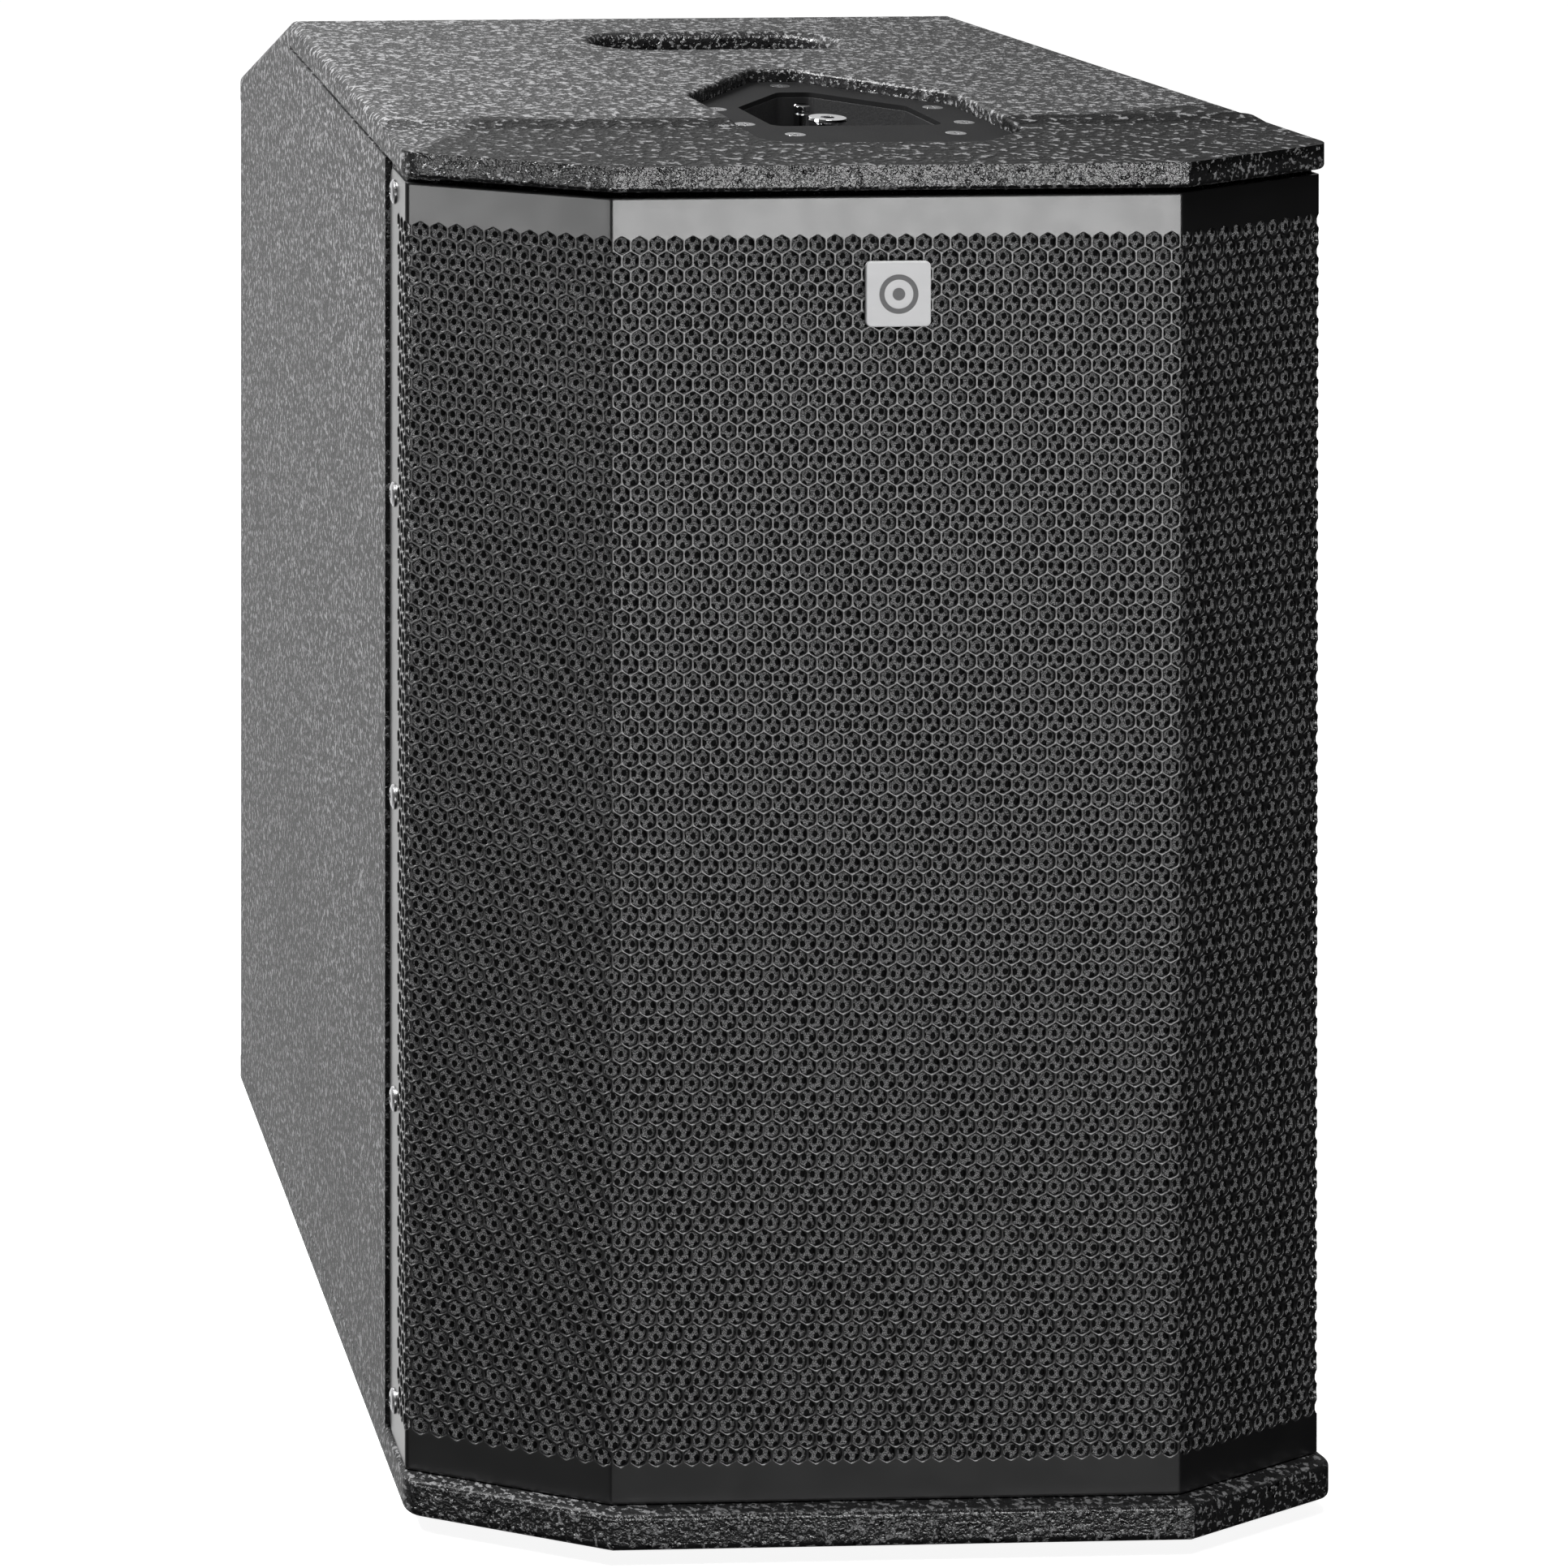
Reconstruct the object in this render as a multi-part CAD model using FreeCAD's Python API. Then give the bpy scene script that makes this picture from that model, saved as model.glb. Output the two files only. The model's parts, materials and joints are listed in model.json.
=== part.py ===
import FreeCAD, Part
import math
import os

# Powered subwoofer cabinet of a compact column PA system.
# Millimetres. X to the right seen from the front, Y to the back, Z up from the floor.
# The origin is the middle of the footprint box at floor level.

V = FreeCAD.Vector

# ---- driving dimensions: cabinet ---------------------------------------------------------
DEPTH = 470.0            # front of the lips to the rear edges of the sides
LIP_BEND_X = 109.5       # half width of the flat front, measured on the lips
FACET_DEG = 25.8         # how far the two front facets turn back
LIP_CORNER_X = 177.9     # half width at the widest place, where facet and side meet
TAPER_DEG = 6.3          # how far each side closes towards the back
FOOT_H = 6.0
BODY_H = 516.0           # wooden body without feet
BREAK_Y = 87.0           # where the flat top turns down to the rear
REAR_DROP = 49.0         # how much lower the top is at the rear edge
PANEL_T = 14.0           # coated birch plywood
TOP_T = 11.5             # thinner board for the top and the slope behind it
LIP_PROUD = 8.0          # the bottom lip stands this far in front of the grille
TOP_LIP_BACK = 4.0       # the top lip ends this far behind the bottom one
BEVEL_DEPTH = 92.0       # lowered zone across the front of the top
BEVEL_DROP = 1.8
SHOULDER_W = 12.0        # slope between the top and its lowered zone
SHOULDER_DROP = 1.5
LONG_EDGE_R = 4.0
LIP_EDGE_R = 2.0
LIP_CORNER_R = 8.0

# ---- driving dimensions: grille -----------------------------------------------------------
GRILLE_T = 1.2
GRILLE_SIDE_INSET = 1.4  # flanges lie this far inside the wooden sides
GRILLE_GAP_LOW = 0.5     # to the lip below
GRILLE_GAP_TOP = 2.5     # to the lip above
FLANGE_REACH = 34.0      # length of the side flange behind the corner
FLANGE_CORNER_R = 7.0
REBATE_CLEAR = 3.0
SKIN_OUT = 5.0           # the rebate cutter stands this far outside the side
FABRIC_T = 1.6
SCREW_ROWS = 5
SCREW_PITCH_Z = 116.0
SCREW_RISE = 3.5         # middle screw above the middle of the grille
SCREW_BACK_FROM_EDGE = 10.0
GRILLE_SHANK_R = 2.0
GRILLE_SHANK_L = 11.0
BADGE_SIZE = 24.4
BADGE_T = 1.6
BADGE_DROP = 36.5        # badge centre under the grille's top edge

# ---- driving dimensions: handle and dock ---------------------------------------------------
TOP_FEATURE_X = 20.0     # handle and dock share this line, right of the middle
HANDLE_Y = 30.0
HANDLE_L = 103.0
HANDLE_W = 37.0
HANDLE_EDGE_R = 4.0
HANDLE_CUP_DEPTH = 46.0
CUP_WALL = 3.0
DOCK_FRONT_Y = -186.0
DOCK_LENGTH = 146.0
DOCK_HALF_W = 53.5
DOCK_FRONT_LEFT = 45.5   # front edge, left of the dock's middle
DOCK_FRONT_RIGHT = 30.0
DOCK_BACK_HALF_W = 9.5
DOCK_LEFT_TURN = 8.0     # length of the front left corner cut, along Y
DOCK_RIGHT_TURN = 22.0   # length of the front right corner cut
DOCK_BACK_TURN = 54.0    # length of the rear corner cuts, along Y
DOCK_CORNER_R = 6.0
DOCK_EDGE_R = 1.5
PLATE_SUNK = 5.0
PLATE_T = 2.0
TRAY_FLANGE_T = 2.0
WELL_HALF_W = 34.0
WELL_FRONT_Y = -136.0
WELL_LENGTH = 72.0
WELL_BACK_HALF_W = 6.5
WELL_BACK_TURN = 32.0
WELL_CORNER_R = 5.0
TRAY_DEPTH = 48.0
POST_Y = -74.0
POST_R = 3.4
STUD_Y = -102.0
STUD_HEAD_R = 7.7
STUD_NECK_R = 4.0
STUD_KEY_R = 2.9         # hexagon socket, across corners
STUD_KEY_DEPTH = 2.5
DOCK_PIN_TOP_SUNK = 8.0  # post and stud tops under the top surface
DOCK_SHANK_R = 1.9
DOCK_SCREW_BITE = 2.4    # how far the plate screws reach into the wood
DOCK_TAIL_R = 2.9        # threaded ends of post and stud under the tray
DOCK_TAIL_L = 10.0
DOCK_NUT_R = 5.8
DOCK_NUT_T = 5.0

# ---- driving dimensions: woofer ------------------------------------------------------------
BAFFLE_Y = -182.0        # front face of the baffle
BAFFLE_T = 15.0
WOOFER_Z = 300.0
WOOFER_HOLE_R = 116.5
FLANGE_R = 129.0
FLANGE_T = 2.5
CONE_R = 97.0
SURROUND_R = 113.0
COIL_R = 26.0
CONE_TRAVEL = 8.0
MAGNET_R = 75.0
MAGNET_T = 22.0
TOP_PLATE_T = 8.0
WOOFER_SHANK_R = 2.5
WOOFER_SHANK_L = 16.0
BASKET_DEPTH = 86.0
PORT_X = 96.0
PORT_Z = 88.0
PORT_R = 26.0
PORT_LENGTH = 150.0
PORT_WALL = 2.5
LINING_T = 8.0           # felt on the inner faces of the sides
LINING_FRONT_Y = 98.0
LINING_REAR_Y = 190.0
LINING_LOW_Z = 50.0
LINING_TOP_Z = 420.0

# ---- driving dimensions: amplifier ---------------------------------------------------------
REAR_PANEL_FACE = 221.0  # outer face of the wooden rear panel
AMP_W = 204.0
AMP_H = 350.0
AMP_T = 3.0
AMP_Z = 222.0            # middle of the amplifier panel
AMP_HOLE_W = 180.0
AMP_HOLE_H = 326.0
AMP_SHANK_R = 2.0
BOX_DEPTH = 92.0
KNOB_R = 8.0
KNOB_H = 11.0
KNOB_GAP = 0.6
SHAFT_R = 3.0
SHAFT_CLEAR = 0.05
SOCKET_BORE_R = 9.3
SOCKET_DEPTH = 15.0
ROCKER_TILT = 8.0
LATCH_RISE = 11.4         # latch above the middle of its socket
LATCH_W = 5.8
LATCH_H = 4.8
LATCH_PLAY = 0.8         # slot wider and taller than the tab
LATCH_TRAVEL = 2.0
BUTTON_TRAVEL = 1.5

# ---- values worked out from the driving dimensions -----------------------------------------
FRONT_Y = -DEPTH / 2
REAR_Y = DEPTH / 2
GRILLE_Y = FRONT_Y + LIP_PROUD
BOTTOM_Z = FOOT_H
FLOOR_Z = BOTTOM_Z + PANEL_T
TOP_Z = FOOT_H + BODY_H
CEILING_Z = TOP_Z - TOP_T
LIP_CORNER_Y = FRONT_Y + (LIP_CORNER_X - LIP_BEND_X) * math.tan(math.radians(FACET_DEG))
REAR_X = LIP_CORNER_X - (REAR_Y - LIP_CORNER_Y) * math.tan(math.radians(TAPER_DEG))
SLOPE_ANGLE = math.atan2(REAR_DROP, REAR_Y - BREAK_Y)
REAR_TOP_Z = TOP_Z - REAR_DROP
INNER_BREAK_Y = BREAK_Y - TOP_T * math.tan(SLOPE_ANGLE / 2)
INNER_REAR_TOP_Z = REAR_TOP_Z - TOP_T / math.cos(SLOPE_ANGLE)
GRILLE_BOTTOM = FLOOR_Z + GRILLE_GAP_LOW
GRILLE_TOP = CEILING_Z - GRILLE_GAP_TOP
PLATE_TOP = TOP_Z - PLATE_SUNK
AMP_FACE = REAR_PANEL_FACE + AMP_T
FAR = 600.0              # larger than the whole object, for cutting tools
BEYOND = 60.0            # how far a cutting outline reaches past the cabinet


# ---- helpers -------------------------------------------------------------------------------
def inset_polygon(points, insets):
    """Move each edge of a counter-clockwise convex polygon inwards by its own distance."""
    count = len(points)
    lines = []
    for i in range(count):
        a, b = points[i], points[(i + 1) % count]
        length = math.hypot(b[0] - a[0], b[1] - a[1])
        dx, dy = (b[0] - a[0]) / length, (b[1] - a[1]) / length
        lines.append((a[0] - dy * insets[i], a[1] + dx * insets[i], dx, dy))
    corners = []
    for i in range(count):
        ax, ay, adx, ady = lines[i - 1]
        bx, by, bdx, bdy = lines[i]
        t = ((bx - ax) * bdy - (by - ay) * bdx) / (adx * bdy - ady * bdx)
        corners.append((ax + adx * t, ay + ady * t))
    return corners


def plan_outline(front_inset=0.0, side_inset=0.0, rear_inset=0.0):
    """Cabinet outline seen from above, each group of edges moved inwards."""
    outline = [
        (-LIP_BEND_X, FRONT_Y), (LIP_BEND_X, FRONT_Y), (LIP_CORNER_X, LIP_CORNER_Y),
        (REAR_X, REAR_Y), (-REAR_X, REAR_Y), (-LIP_CORNER_X, LIP_CORNER_Y),
    ]
    f, s, r = front_inset, side_inset, rear_inset
    return inset_polygon(outline, [f, f, s, r, s, f])


def prism_xy(points, z0, z1):
    wire = Part.makePolygon([V(x, y, z0) for x, y in points] + [V(points[0][0], points[0][1], z0)])
    return Part.Face(wire).extrude(V(0, 0, z1 - z0))


def prism_yz(points, x0=-FAR, x1=FAR):
    wire = Part.makePolygon([V(x0, y, z) for y, z in points] + [V(x0, points[0][0], points[0][1])])
    return Part.Face(wire).extrude(V(x1 - x0, 0, 0))


def box(x0, x1, y0, y1, z0, z1):
    return Part.makeBox(x1 - x0, y1 - y0, z1 - z0, V(x0, y0, z0))


def half_space(side):
    """Everything on one side of the cabinet's middle plane."""
    return box(min(0, side * FAR), max(0, side * FAR), -FAR, FAR, 0, FAR)


def centred_box(x, z, width, height, y0, y1):
    return box(x - width / 2, x + width / 2, y0, y1, z - height / 2, z + height / 2)


def rod(base, direction, radius, length):
    return Part.makeCylinder(radius, length, base, direction)


def tube(base, direction, outer, inner, length):
    return rod(base, direction, outer, length).cut(rod(base, direction, inner, length))


def turned(profile, base, direction):
    """Revolve (radius, height) points about an axis that starts at base."""
    points = [V(r, 0, h) for r, h in profile]
    face = Part.Face(Part.makePolygon(points + [points[0]]))
    solid = face.revolve(V(0, 0, 0), V(0, 0, 1), 360)
    solid.Placement = FreeCAD.Placement(base, FreeCAD.Rotation(V(0, 0, 1), direction))
    return solid


def fillet(shape, radius, wanted):
    """Round every edge that the test picks by its bounding box."""
    edges = [edge for edge in shape.Edges if wanted(edge.BoundBox)]
    return shape.makeFillet(radius, edges)


def hexagon(x, y, radius):
    corners = [math.radians(60 * k) for k in range(6)]
    return [(x + radius * math.cos(a), y + radius * math.sin(a)) for a in corners]


def upright(b):
    return b.XLength < 0.01 and b.YLength < 0.01 and b.ZLength > 1.0


def rounded_prism(points, z0, z1, radius):
    return fillet(prism_xy(points, z0, z1), radius, upright)


BACK = V(0, 1, 0)
FRONT = V(0, -1, 0)
UP = V(0, 0, 1)
DOWN = V(0, 0, -1)


# ---- wooden cabinet ------------------------------------------------------------------------
def outer_profile():
    return [(FRONT_Y, BOTTOM_Z), (REAR_Y, BOTTOM_Z), (REAR_Y, REAR_TOP_Z), (BREAK_Y, TOP_Z),
            (FRONT_Y, TOP_Z)]


def inner_profile():
    return [(FRONT_Y, FLOOR_Z), (REAR_Y, FLOOR_Z), (REAR_Y, INNER_REAR_TOP_Z),
            (INNER_BREAK_Y, CEILING_Z), (FRONT_Y, CEILING_Z)]


def long_top_edge(b):
    """The two tapering edges along a panel's upper outer sides."""
    return b.YLength > 100 and 1 < b.XLength < 60 and b.ZMax > REAR_TOP_Z - 0.01


def lip_edges(shape, z, radius):
    """Round the front and facet edges of a lip at one height."""
    def wanted(b):
        return abs(b.ZMin - z) < 0.01 and abs(b.ZMax - z) < 0.01 and b.YMax < LIP_CORNER_Y + 2
    return fillet(shape, radius, wanted)


def lip_plate(z0, z1, set_back=0.0):
    """Panel with a bent front edge and rounded lip corners."""
    slab = prism_xy(plan_outline(set_back), z0, z1)
    return fillet(slab, LIP_CORNER_R,
                  lambda b: upright(b) and FRONT_Y + set_back + 1 < b.YMax < LIP_CORNER_Y + set_back + 2)


def dock_outline(inset):
    x, y0 = TOP_FEATURE_X, DOCK_FRONT_Y
    y1 = DOCK_FRONT_Y + DOCK_LENGTH
    points = [
        (x - DOCK_FRONT_LEFT, y0), (x + DOCK_FRONT_RIGHT, y0),
        (x + DOCK_HALF_W, y0 + DOCK_RIGHT_TURN), (x + DOCK_HALF_W, y1 - DOCK_BACK_TURN),
        (x + DOCK_BACK_HALF_W, y1), (x - DOCK_BACK_HALF_W, y1),
        (x - DOCK_HALF_W, y1 - DOCK_BACK_TURN), (x - DOCK_HALF_W, y0 + DOCK_LEFT_TURN),
    ]
    return inset_polygon(points, [inset] * len(points))


def well_outline(inset):
    x, y0 = TOP_FEATURE_X, WELL_FRONT_Y
    y1 = WELL_FRONT_Y + WELL_LENGTH
    points = [
        (x - WELL_HALF_W, y0), (x + WELL_HALF_W, y0), (x + WELL_HALF_W, y1 - WELL_BACK_TURN),
        (x + WELL_BACK_HALF_W, y1), (x - WELL_BACK_HALF_W, y1), (x - WELL_HALF_W, y1 - WELL_BACK_TURN),
    ]
    return inset_polygon(points, [inset] * len(points))


def slot_prism(length, width, z0, z1):
    """A slot with fully round ends, lying along X."""
    half = (length - width) / 2
    x, y = TOP_FEATURE_X, HANDLE_Y
    middle = box(x - half, x + half, y - width / 2, y + width / 2, z0, z1)
    ends = [rod(V(x + side * half, y, z0), UP, width / 2, z1 - z0) for side in (-1, 1)]
    return middle.fuse(ends).removeSplitter()


def top_panel():
    panel = lip_plate(CEILING_Z, TOP_Z, TOP_LIP_BACK)
    shoulder_y = FRONT_Y + BEVEL_DEPTH
    roof = [(FRONT_Y, CEILING_Z), (INNER_BREAK_Y, CEILING_Z), (BREAK_Y, TOP_Z), (shoulder_y, TOP_Z),
            (shoulder_y - SHOULDER_W, TOP_Z - SHOULDER_DROP), (FRONT_Y, TOP_Z - BEVEL_DROP)]
    panel = panel.common(prism_yz(roof))
    panel = lip_edges(panel, CEILING_Z, LIP_EDGE_R)
    slot = slot_prism(HANDLE_L, HANDLE_W, CEILING_Z, TOP_Z)
    recess = rounded_prism(dock_outline(0), PLATE_TOP - PLATE_T - TRAY_FLANGE_T, TOP_Z, DOCK_CORNER_R)
    well = rounded_prism(well_outline(-CUP_WALL - 0.5), CEILING_Z, TOP_Z, WELL_CORNER_R)
    pilots = [rod(V(x, y, CEILING_Z), UP, DOCK_SHANK_R, TOP_T) for x, y in dock_screw_places()]
    panel = panel.cut([slot, recess, well] + pilots)
    panel = fillet(panel, LONG_EDGE_R, long_top_edge)
    panel = fillet(panel, HANDLE_EDGE_R, slot_rim)
    return fillet(panel, DOCK_EDGE_R, dock_rim)


def slot_rim(b):
    """The upper rim of the handle slot."""
    reach = HANDLE_W / 2 + 1
    return b.ZMin > TOP_Z - 0.01 and b.YMin > HANDLE_Y - reach and b.YMax < HANDLE_Y + reach


def dock_rim(b):
    """The upper rim of the dock recess, part of which lies on the bevel."""
    inside_x = b.XMin > TOP_FEATURE_X - DOCK_HALF_W - 1 and b.XMax < TOP_FEATURE_X + DOCK_HALF_W + 1
    inside_y = b.YMin > DOCK_FRONT_Y - 1 and b.YMax < DOCK_FRONT_Y + DOCK_LENGTH + 1
    return inside_x and inside_y and b.ZMin > TOP_Z - BEVEL_DROP - 0.01 and not upright(b)


def rear_slope_panel():
    slope = [(BREAK_Y, TOP_Z), (INNER_BREAK_Y, CEILING_Z), (REAR_Y, INNER_REAR_TOP_Z), (REAR_Y, REAR_TOP_Z)]
    panel = prism_yz(slope).common(prism_xy(plan_outline(), 0, FAR))
    return fillet(panel, LONG_EDGE_R, lambda b: b.YLength > 100 and b.ZMax > TOP_Z - 0.01)


def bottom_panel():
    panel = lip_plate(BOTTOM_Z, FLOOR_Z)
    panel = lip_edges(panel, FLOOR_Z, LIP_EDGE_R)
    panel = fillet(panel, LONG_EDGE_R - 1, lambda b: b.ZMax < BOTTOM_Z + 0.01)
    return panel.cut([rod(V(x, y, BOTTOM_Z), UP, FOOT_SHANK_R, PANEL_T) for x, y in FOOT_PLACES])


def side_panel(side):
    wall = prism_xy(plan_outline(front_inset=LIP_PROUD + GRILLE_T + FABRIC_T + 1.4), FLOOR_Z, TOP_Z)
    wall = wall.cut(prism_xy(plan_outline(-BEYOND, PANEL_T, -BEYOND), FLOOR_Z, TOP_Z))
    wall = wall.common(prism_yz(inner_profile()))
    wall = wall.common(half_space(side))
    rebate_end = flange_rear_y() + REBATE_CLEAR
    skin = prism_xy(plan_outline(-BEYOND, -SKIN_OUT, -BEYOND), FLOOR_Z, TOP_Z)
    skin = skin.cut(prism_xy(plan_outline(-BEYOND, GRILLE_SIDE_INSET + GRILLE_T, -BEYOND), FLOOR_Z, TOP_Z))
    skin = skin.common(box(-FAR, FAR, -FAR, rebate_end, FLOOR_Z, TOP_Z))
    wall = wall.cut([skin] + grille_screw_shanks(side))
    return fillet(wall, LIP_EDGE_R, lambda b: upright(b) and b.YMin > REAR_Y - 0.01 and
                  max(abs(b.XMin), abs(b.XMax)) > REAR_X - 1)


def front_baffle():
    board = prism_xy(plan_outline(0, PANEL_T), FLOOR_Z, CEILING_Z)
    board = board.common(box(-FAR, FAR, BAFFLE_Y, BAFFLE_Y + BAFFLE_T, 0, FAR))
    holes = [rod(V(0, BAFFLE_Y, WOOFER_Z), BACK, WOOFER_HOLE_R, BAFFLE_T)]
    holes += [rod(V(side * PORT_X, BAFFLE_Y, PORT_Z), BACK, PORT_R + PORT_WALL, BAFFLE_T) for side in (-1, 1)]
    holes += [rod(WOOFER + p, BACK, WOOFER_SHANK_R, BAFFLE_T) for p in around(FLANGE_SCREW_R, FLANGE_SCREWS)]
    return board.cut(holes)


def rear_panel():
    board = prism_xy(plan_outline(0, PANEL_T), FLOOR_Z, TOP_Z).common(prism_yz(inner_profile()))
    board = board.common(box(-FAR, FAR, REAR_PANEL_FACE - PANEL_T, REAR_PANEL_FACE, 0, FAR))
    window = centred_box(0, AMP_Z, AMP_HOLE_W, AMP_HOLE_H, -FAR, FAR)
    pilots = [rod(V(x, REAR_PANEL_FACE, z), FRONT, AMP_SHANK_R, PANEL_T) for x, z in amp_screw_places()]
    return board.cut([window] + pilots)


def cross_brace():
    """A shelf from side to side behind the woofer, drilled so that the air passes."""
    z = WOOFER_Z - FLANGE_R - 25
    shelf = prism_xy(plan_outline(0, PANEL_T), z, z + PANEL_T).common(box(-FAR, FAR, -120, 90, 0, FAR))
    holes = []
    for x in (-95, -32, 32, 95):
        for y in (-90, -32, 26):
            holes.append(rod(V(x, y, z), UP, 22, PANEL_T))
    return shelf.cut(holes)


def port_tubes():
    tubes = []
    for side in (-1, 1):
        base = V(side * PORT_X, BAFFLE_Y, PORT_Z)
        pipe = tube(base, BACK, PORT_R + PORT_WALL, PORT_R, PORT_LENGTH)
        lip = tube(base + V(0, -2, 0), BACK, PORT_R + 10, PORT_R, 2)
        tubes.append(pipe.fuse(lip).removeSplitter())
    return Part.makeCompound(tubes)


def damping_lining():
    """Felt pads on the inner faces of both sides."""
    pads = []
    for side in (-1, 1):
        pad = prism_xy(plan_outline(0, PANEL_T), LINING_LOW_Z, LINING_TOP_Z)
        pad = pad.cut(prism_xy(plan_outline(-BEYOND, PANEL_T + LINING_T, -BEYOND), 0, FAR))
        pad = pad.common(box(-FAR, FAR, LINING_FRONT_Y, LINING_REAR_Y, 0, FAR))
        pads.append(pad.common(half_space(side)))
    return Part.makeCompound(pads)


# ---- grille ---------------------------------------------------------------------------------
def flange_rear_y():
    corner = plan_outline(LIP_PROUD, GRILLE_SIDE_INSET)[2]
    return corner[1] + FLANGE_REACH


def front_grille():
    outer = prism_xy(plan_outline(LIP_PROUD, GRILLE_SIDE_INSET, -BEYOND), GRILLE_BOTTOM, GRILLE_TOP)
    inner_inset = GRILLE_SIDE_INSET + GRILLE_T
    inner = prism_xy(plan_outline(LIP_PROUD + GRILLE_T, inner_inset, -BEYOND), GRILLE_BOTTOM, GRILLE_TOP)
    sheet = outer.cut(inner).common(box(-FAR, FAR, -FAR, flange_rear_y(), 0, FAR))
    sheet = sheet.cut(grille_screw_shanks(-1) + grille_screw_shanks(1))
    return fillet(sheet, FLANGE_CORNER_R, lambda b: b.ZLength < 0.01 and 1 < b.XLength < 2 and
                  b.YMax > flange_rear_y() - 0.2)


def flange_point(side, along_back, out=0.0):
    """A point on the outer face of a side flange, measured from its rear edge forwards."""
    corner = plan_outline(LIP_PROUD, GRILLE_SIDE_INSET)[2]
    taper = math.radians(TAPER_DEG)
    s = FLANGE_REACH / math.cos(taper) - along_back
    x = corner[0] - s * math.sin(taper) + out * math.cos(taper)
    y = corner[1] + s * math.cos(taper) + out * math.sin(taper)
    return V(side * x, y, 0)


def flange_normal(side):
    taper = math.radians(TAPER_DEG)
    return V(side * math.cos(taper), math.sin(taper), 0)


SCREW_HEAD = [(0, 0), (4.8, 0), (4.6, 0.7), (3.4, 1.35), (1.6, 1.7), (1.6, 0.6), (0, 0.6)]
SCREW_MIDDLE_Z = (GRILLE_BOTTOM + GRILLE_TOP) / 2 + SCREW_RISE


def grille_screw_bases(side):
    """Middle of each screw head's seat on one flange."""
    bases = []
    for row in range(SCREW_ROWS):
        z = SCREW_MIDDLE_Z + (row - (SCREW_ROWS - 1) / 2) * SCREW_PITCH_Z
        bases.append(flange_point(side, SCREW_BACK_FROM_EDGE) + V(0, 0, z))
    return bases


def grille_screw_shanks(side):
    inwards = flange_normal(side).negative()
    return [rod(base, inwards, GRILLE_SHANK_R, GRILLE_SHANK_L) for base in grille_screw_bases(side)]


def grille_screws():
    """Low round heads that hold the side flanges, with their shanks in the wood."""
    screws = []
    for side in (-1, 1):
        for base, shank in zip(grille_screw_bases(side), grille_screw_shanks(side)):
            head = turned(SCREW_HEAD, base, flange_normal(side))
            screws.append(head.fuse(shank).removeSplitter())
    return Part.makeCompound(screws)


def grille_fabric():
    """Spacer mesh that lines the back of the grille."""
    front = LIP_PROUD + GRILLE_T
    side = GRILLE_SIDE_INSET + GRILLE_T
    outer = prism_xy(plan_outline(front, side, -BEYOND), GRILLE_BOTTOM + 4, GRILLE_TOP - 4)
    inner = prism_xy(plan_outline(front + FABRIC_T, side, -BEYOND), GRILLE_BOTTOM + 4, GRILLE_TOP - 4)
    return outer.cut(inner).common(box(-FAR, FAR, -FAR, LIP_CORNER_Y + 6, 0, FAR))


def grille_badge():
    z = GRILLE_TOP - BADGE_DROP
    plate = centred_box(0, z, BADGE_SIZE, BADGE_SIZE, GRILLE_Y - BADGE_T, GRILLE_Y)
    plate = fillet(plate, 2.0, lambda b: b.YLength > 1 and b.XLength < 0.01 and b.ZLength < 0.01)
    return fillet(plate, 0.4, lambda b: b.YMax < GRILLE_Y - BADGE_T + 0.01)


# ---- handle and dock ------------------------------------------------------------------------
def handle_cup():
    """Closed cup under the handle slot, so that the cabinet stays airtight."""
    outer = slot_prism(HANDLE_L + 26, HANDLE_W + 26, CEILING_Z - HANDLE_CUP_DEPTH, CEILING_Z)
    inner = slot_prism(HANDLE_L + 20, HANDLE_W + 20, CEILING_Z - HANDLE_CUP_DEPTH + CUP_WALL, CEILING_Z)
    return outer.cut(inner)


def dock_screw_places():
    x, y0 = TOP_FEATURE_X, DOCK_FRONT_Y
    places = [(x, y0 + DOCK_LENGTH - 9), (x, y0 + 10)]
    for side in (-1, 1):
        places += [(x + side * 43.5, -99), (x + side * 43.5, -131), (x + side * 31.5, -153)]
    return places


def dock_plate():
    plate = rounded_prism(dock_outline(0.7), PLATE_TOP - PLATE_T, PLATE_TOP, DOCK_CORNER_R - 0.7)
    plate = plate.cut(rounded_prism(well_outline(0), PLATE_TOP - PLATE_T, PLATE_TOP, WELL_CORNER_R))
    holes = []
    for x, y in dock_screw_places():
        holes.append(Part.makeCone(2.0, 4.0, PLATE_T, V(x, y, PLATE_TOP - PLATE_T), UP))
    return plate.cut(holes)


def dock_plate_screws():
    screws = []
    depth = PLATE_T + TRAY_FLANGE_T + DOCK_SCREW_BITE
    for x, y in dock_screw_places():
        head = Part.makeCone(1.9, 3.9, PLATE_T, V(x, y, PLATE_TOP - PLATE_T), UP)
        shank = rod(V(x, y, PLATE_TOP - depth), UP, DOCK_SHANK_R, depth - PLATE_T)
        cross = box(x - 1.9, x + 1.9, y - 0.35, y + 0.35, PLATE_TOP - 1.0, PLATE_TOP)
        cross = cross.fuse(box(x - 0.35, x + 0.35, y - 1.9, y + 1.9, PLATE_TOP - 1.0, PLATE_TOP))
        screws.append(head.fuse(shank).cut(cross).removeSplitter())
    return Part.makeCompound(screws)


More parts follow.
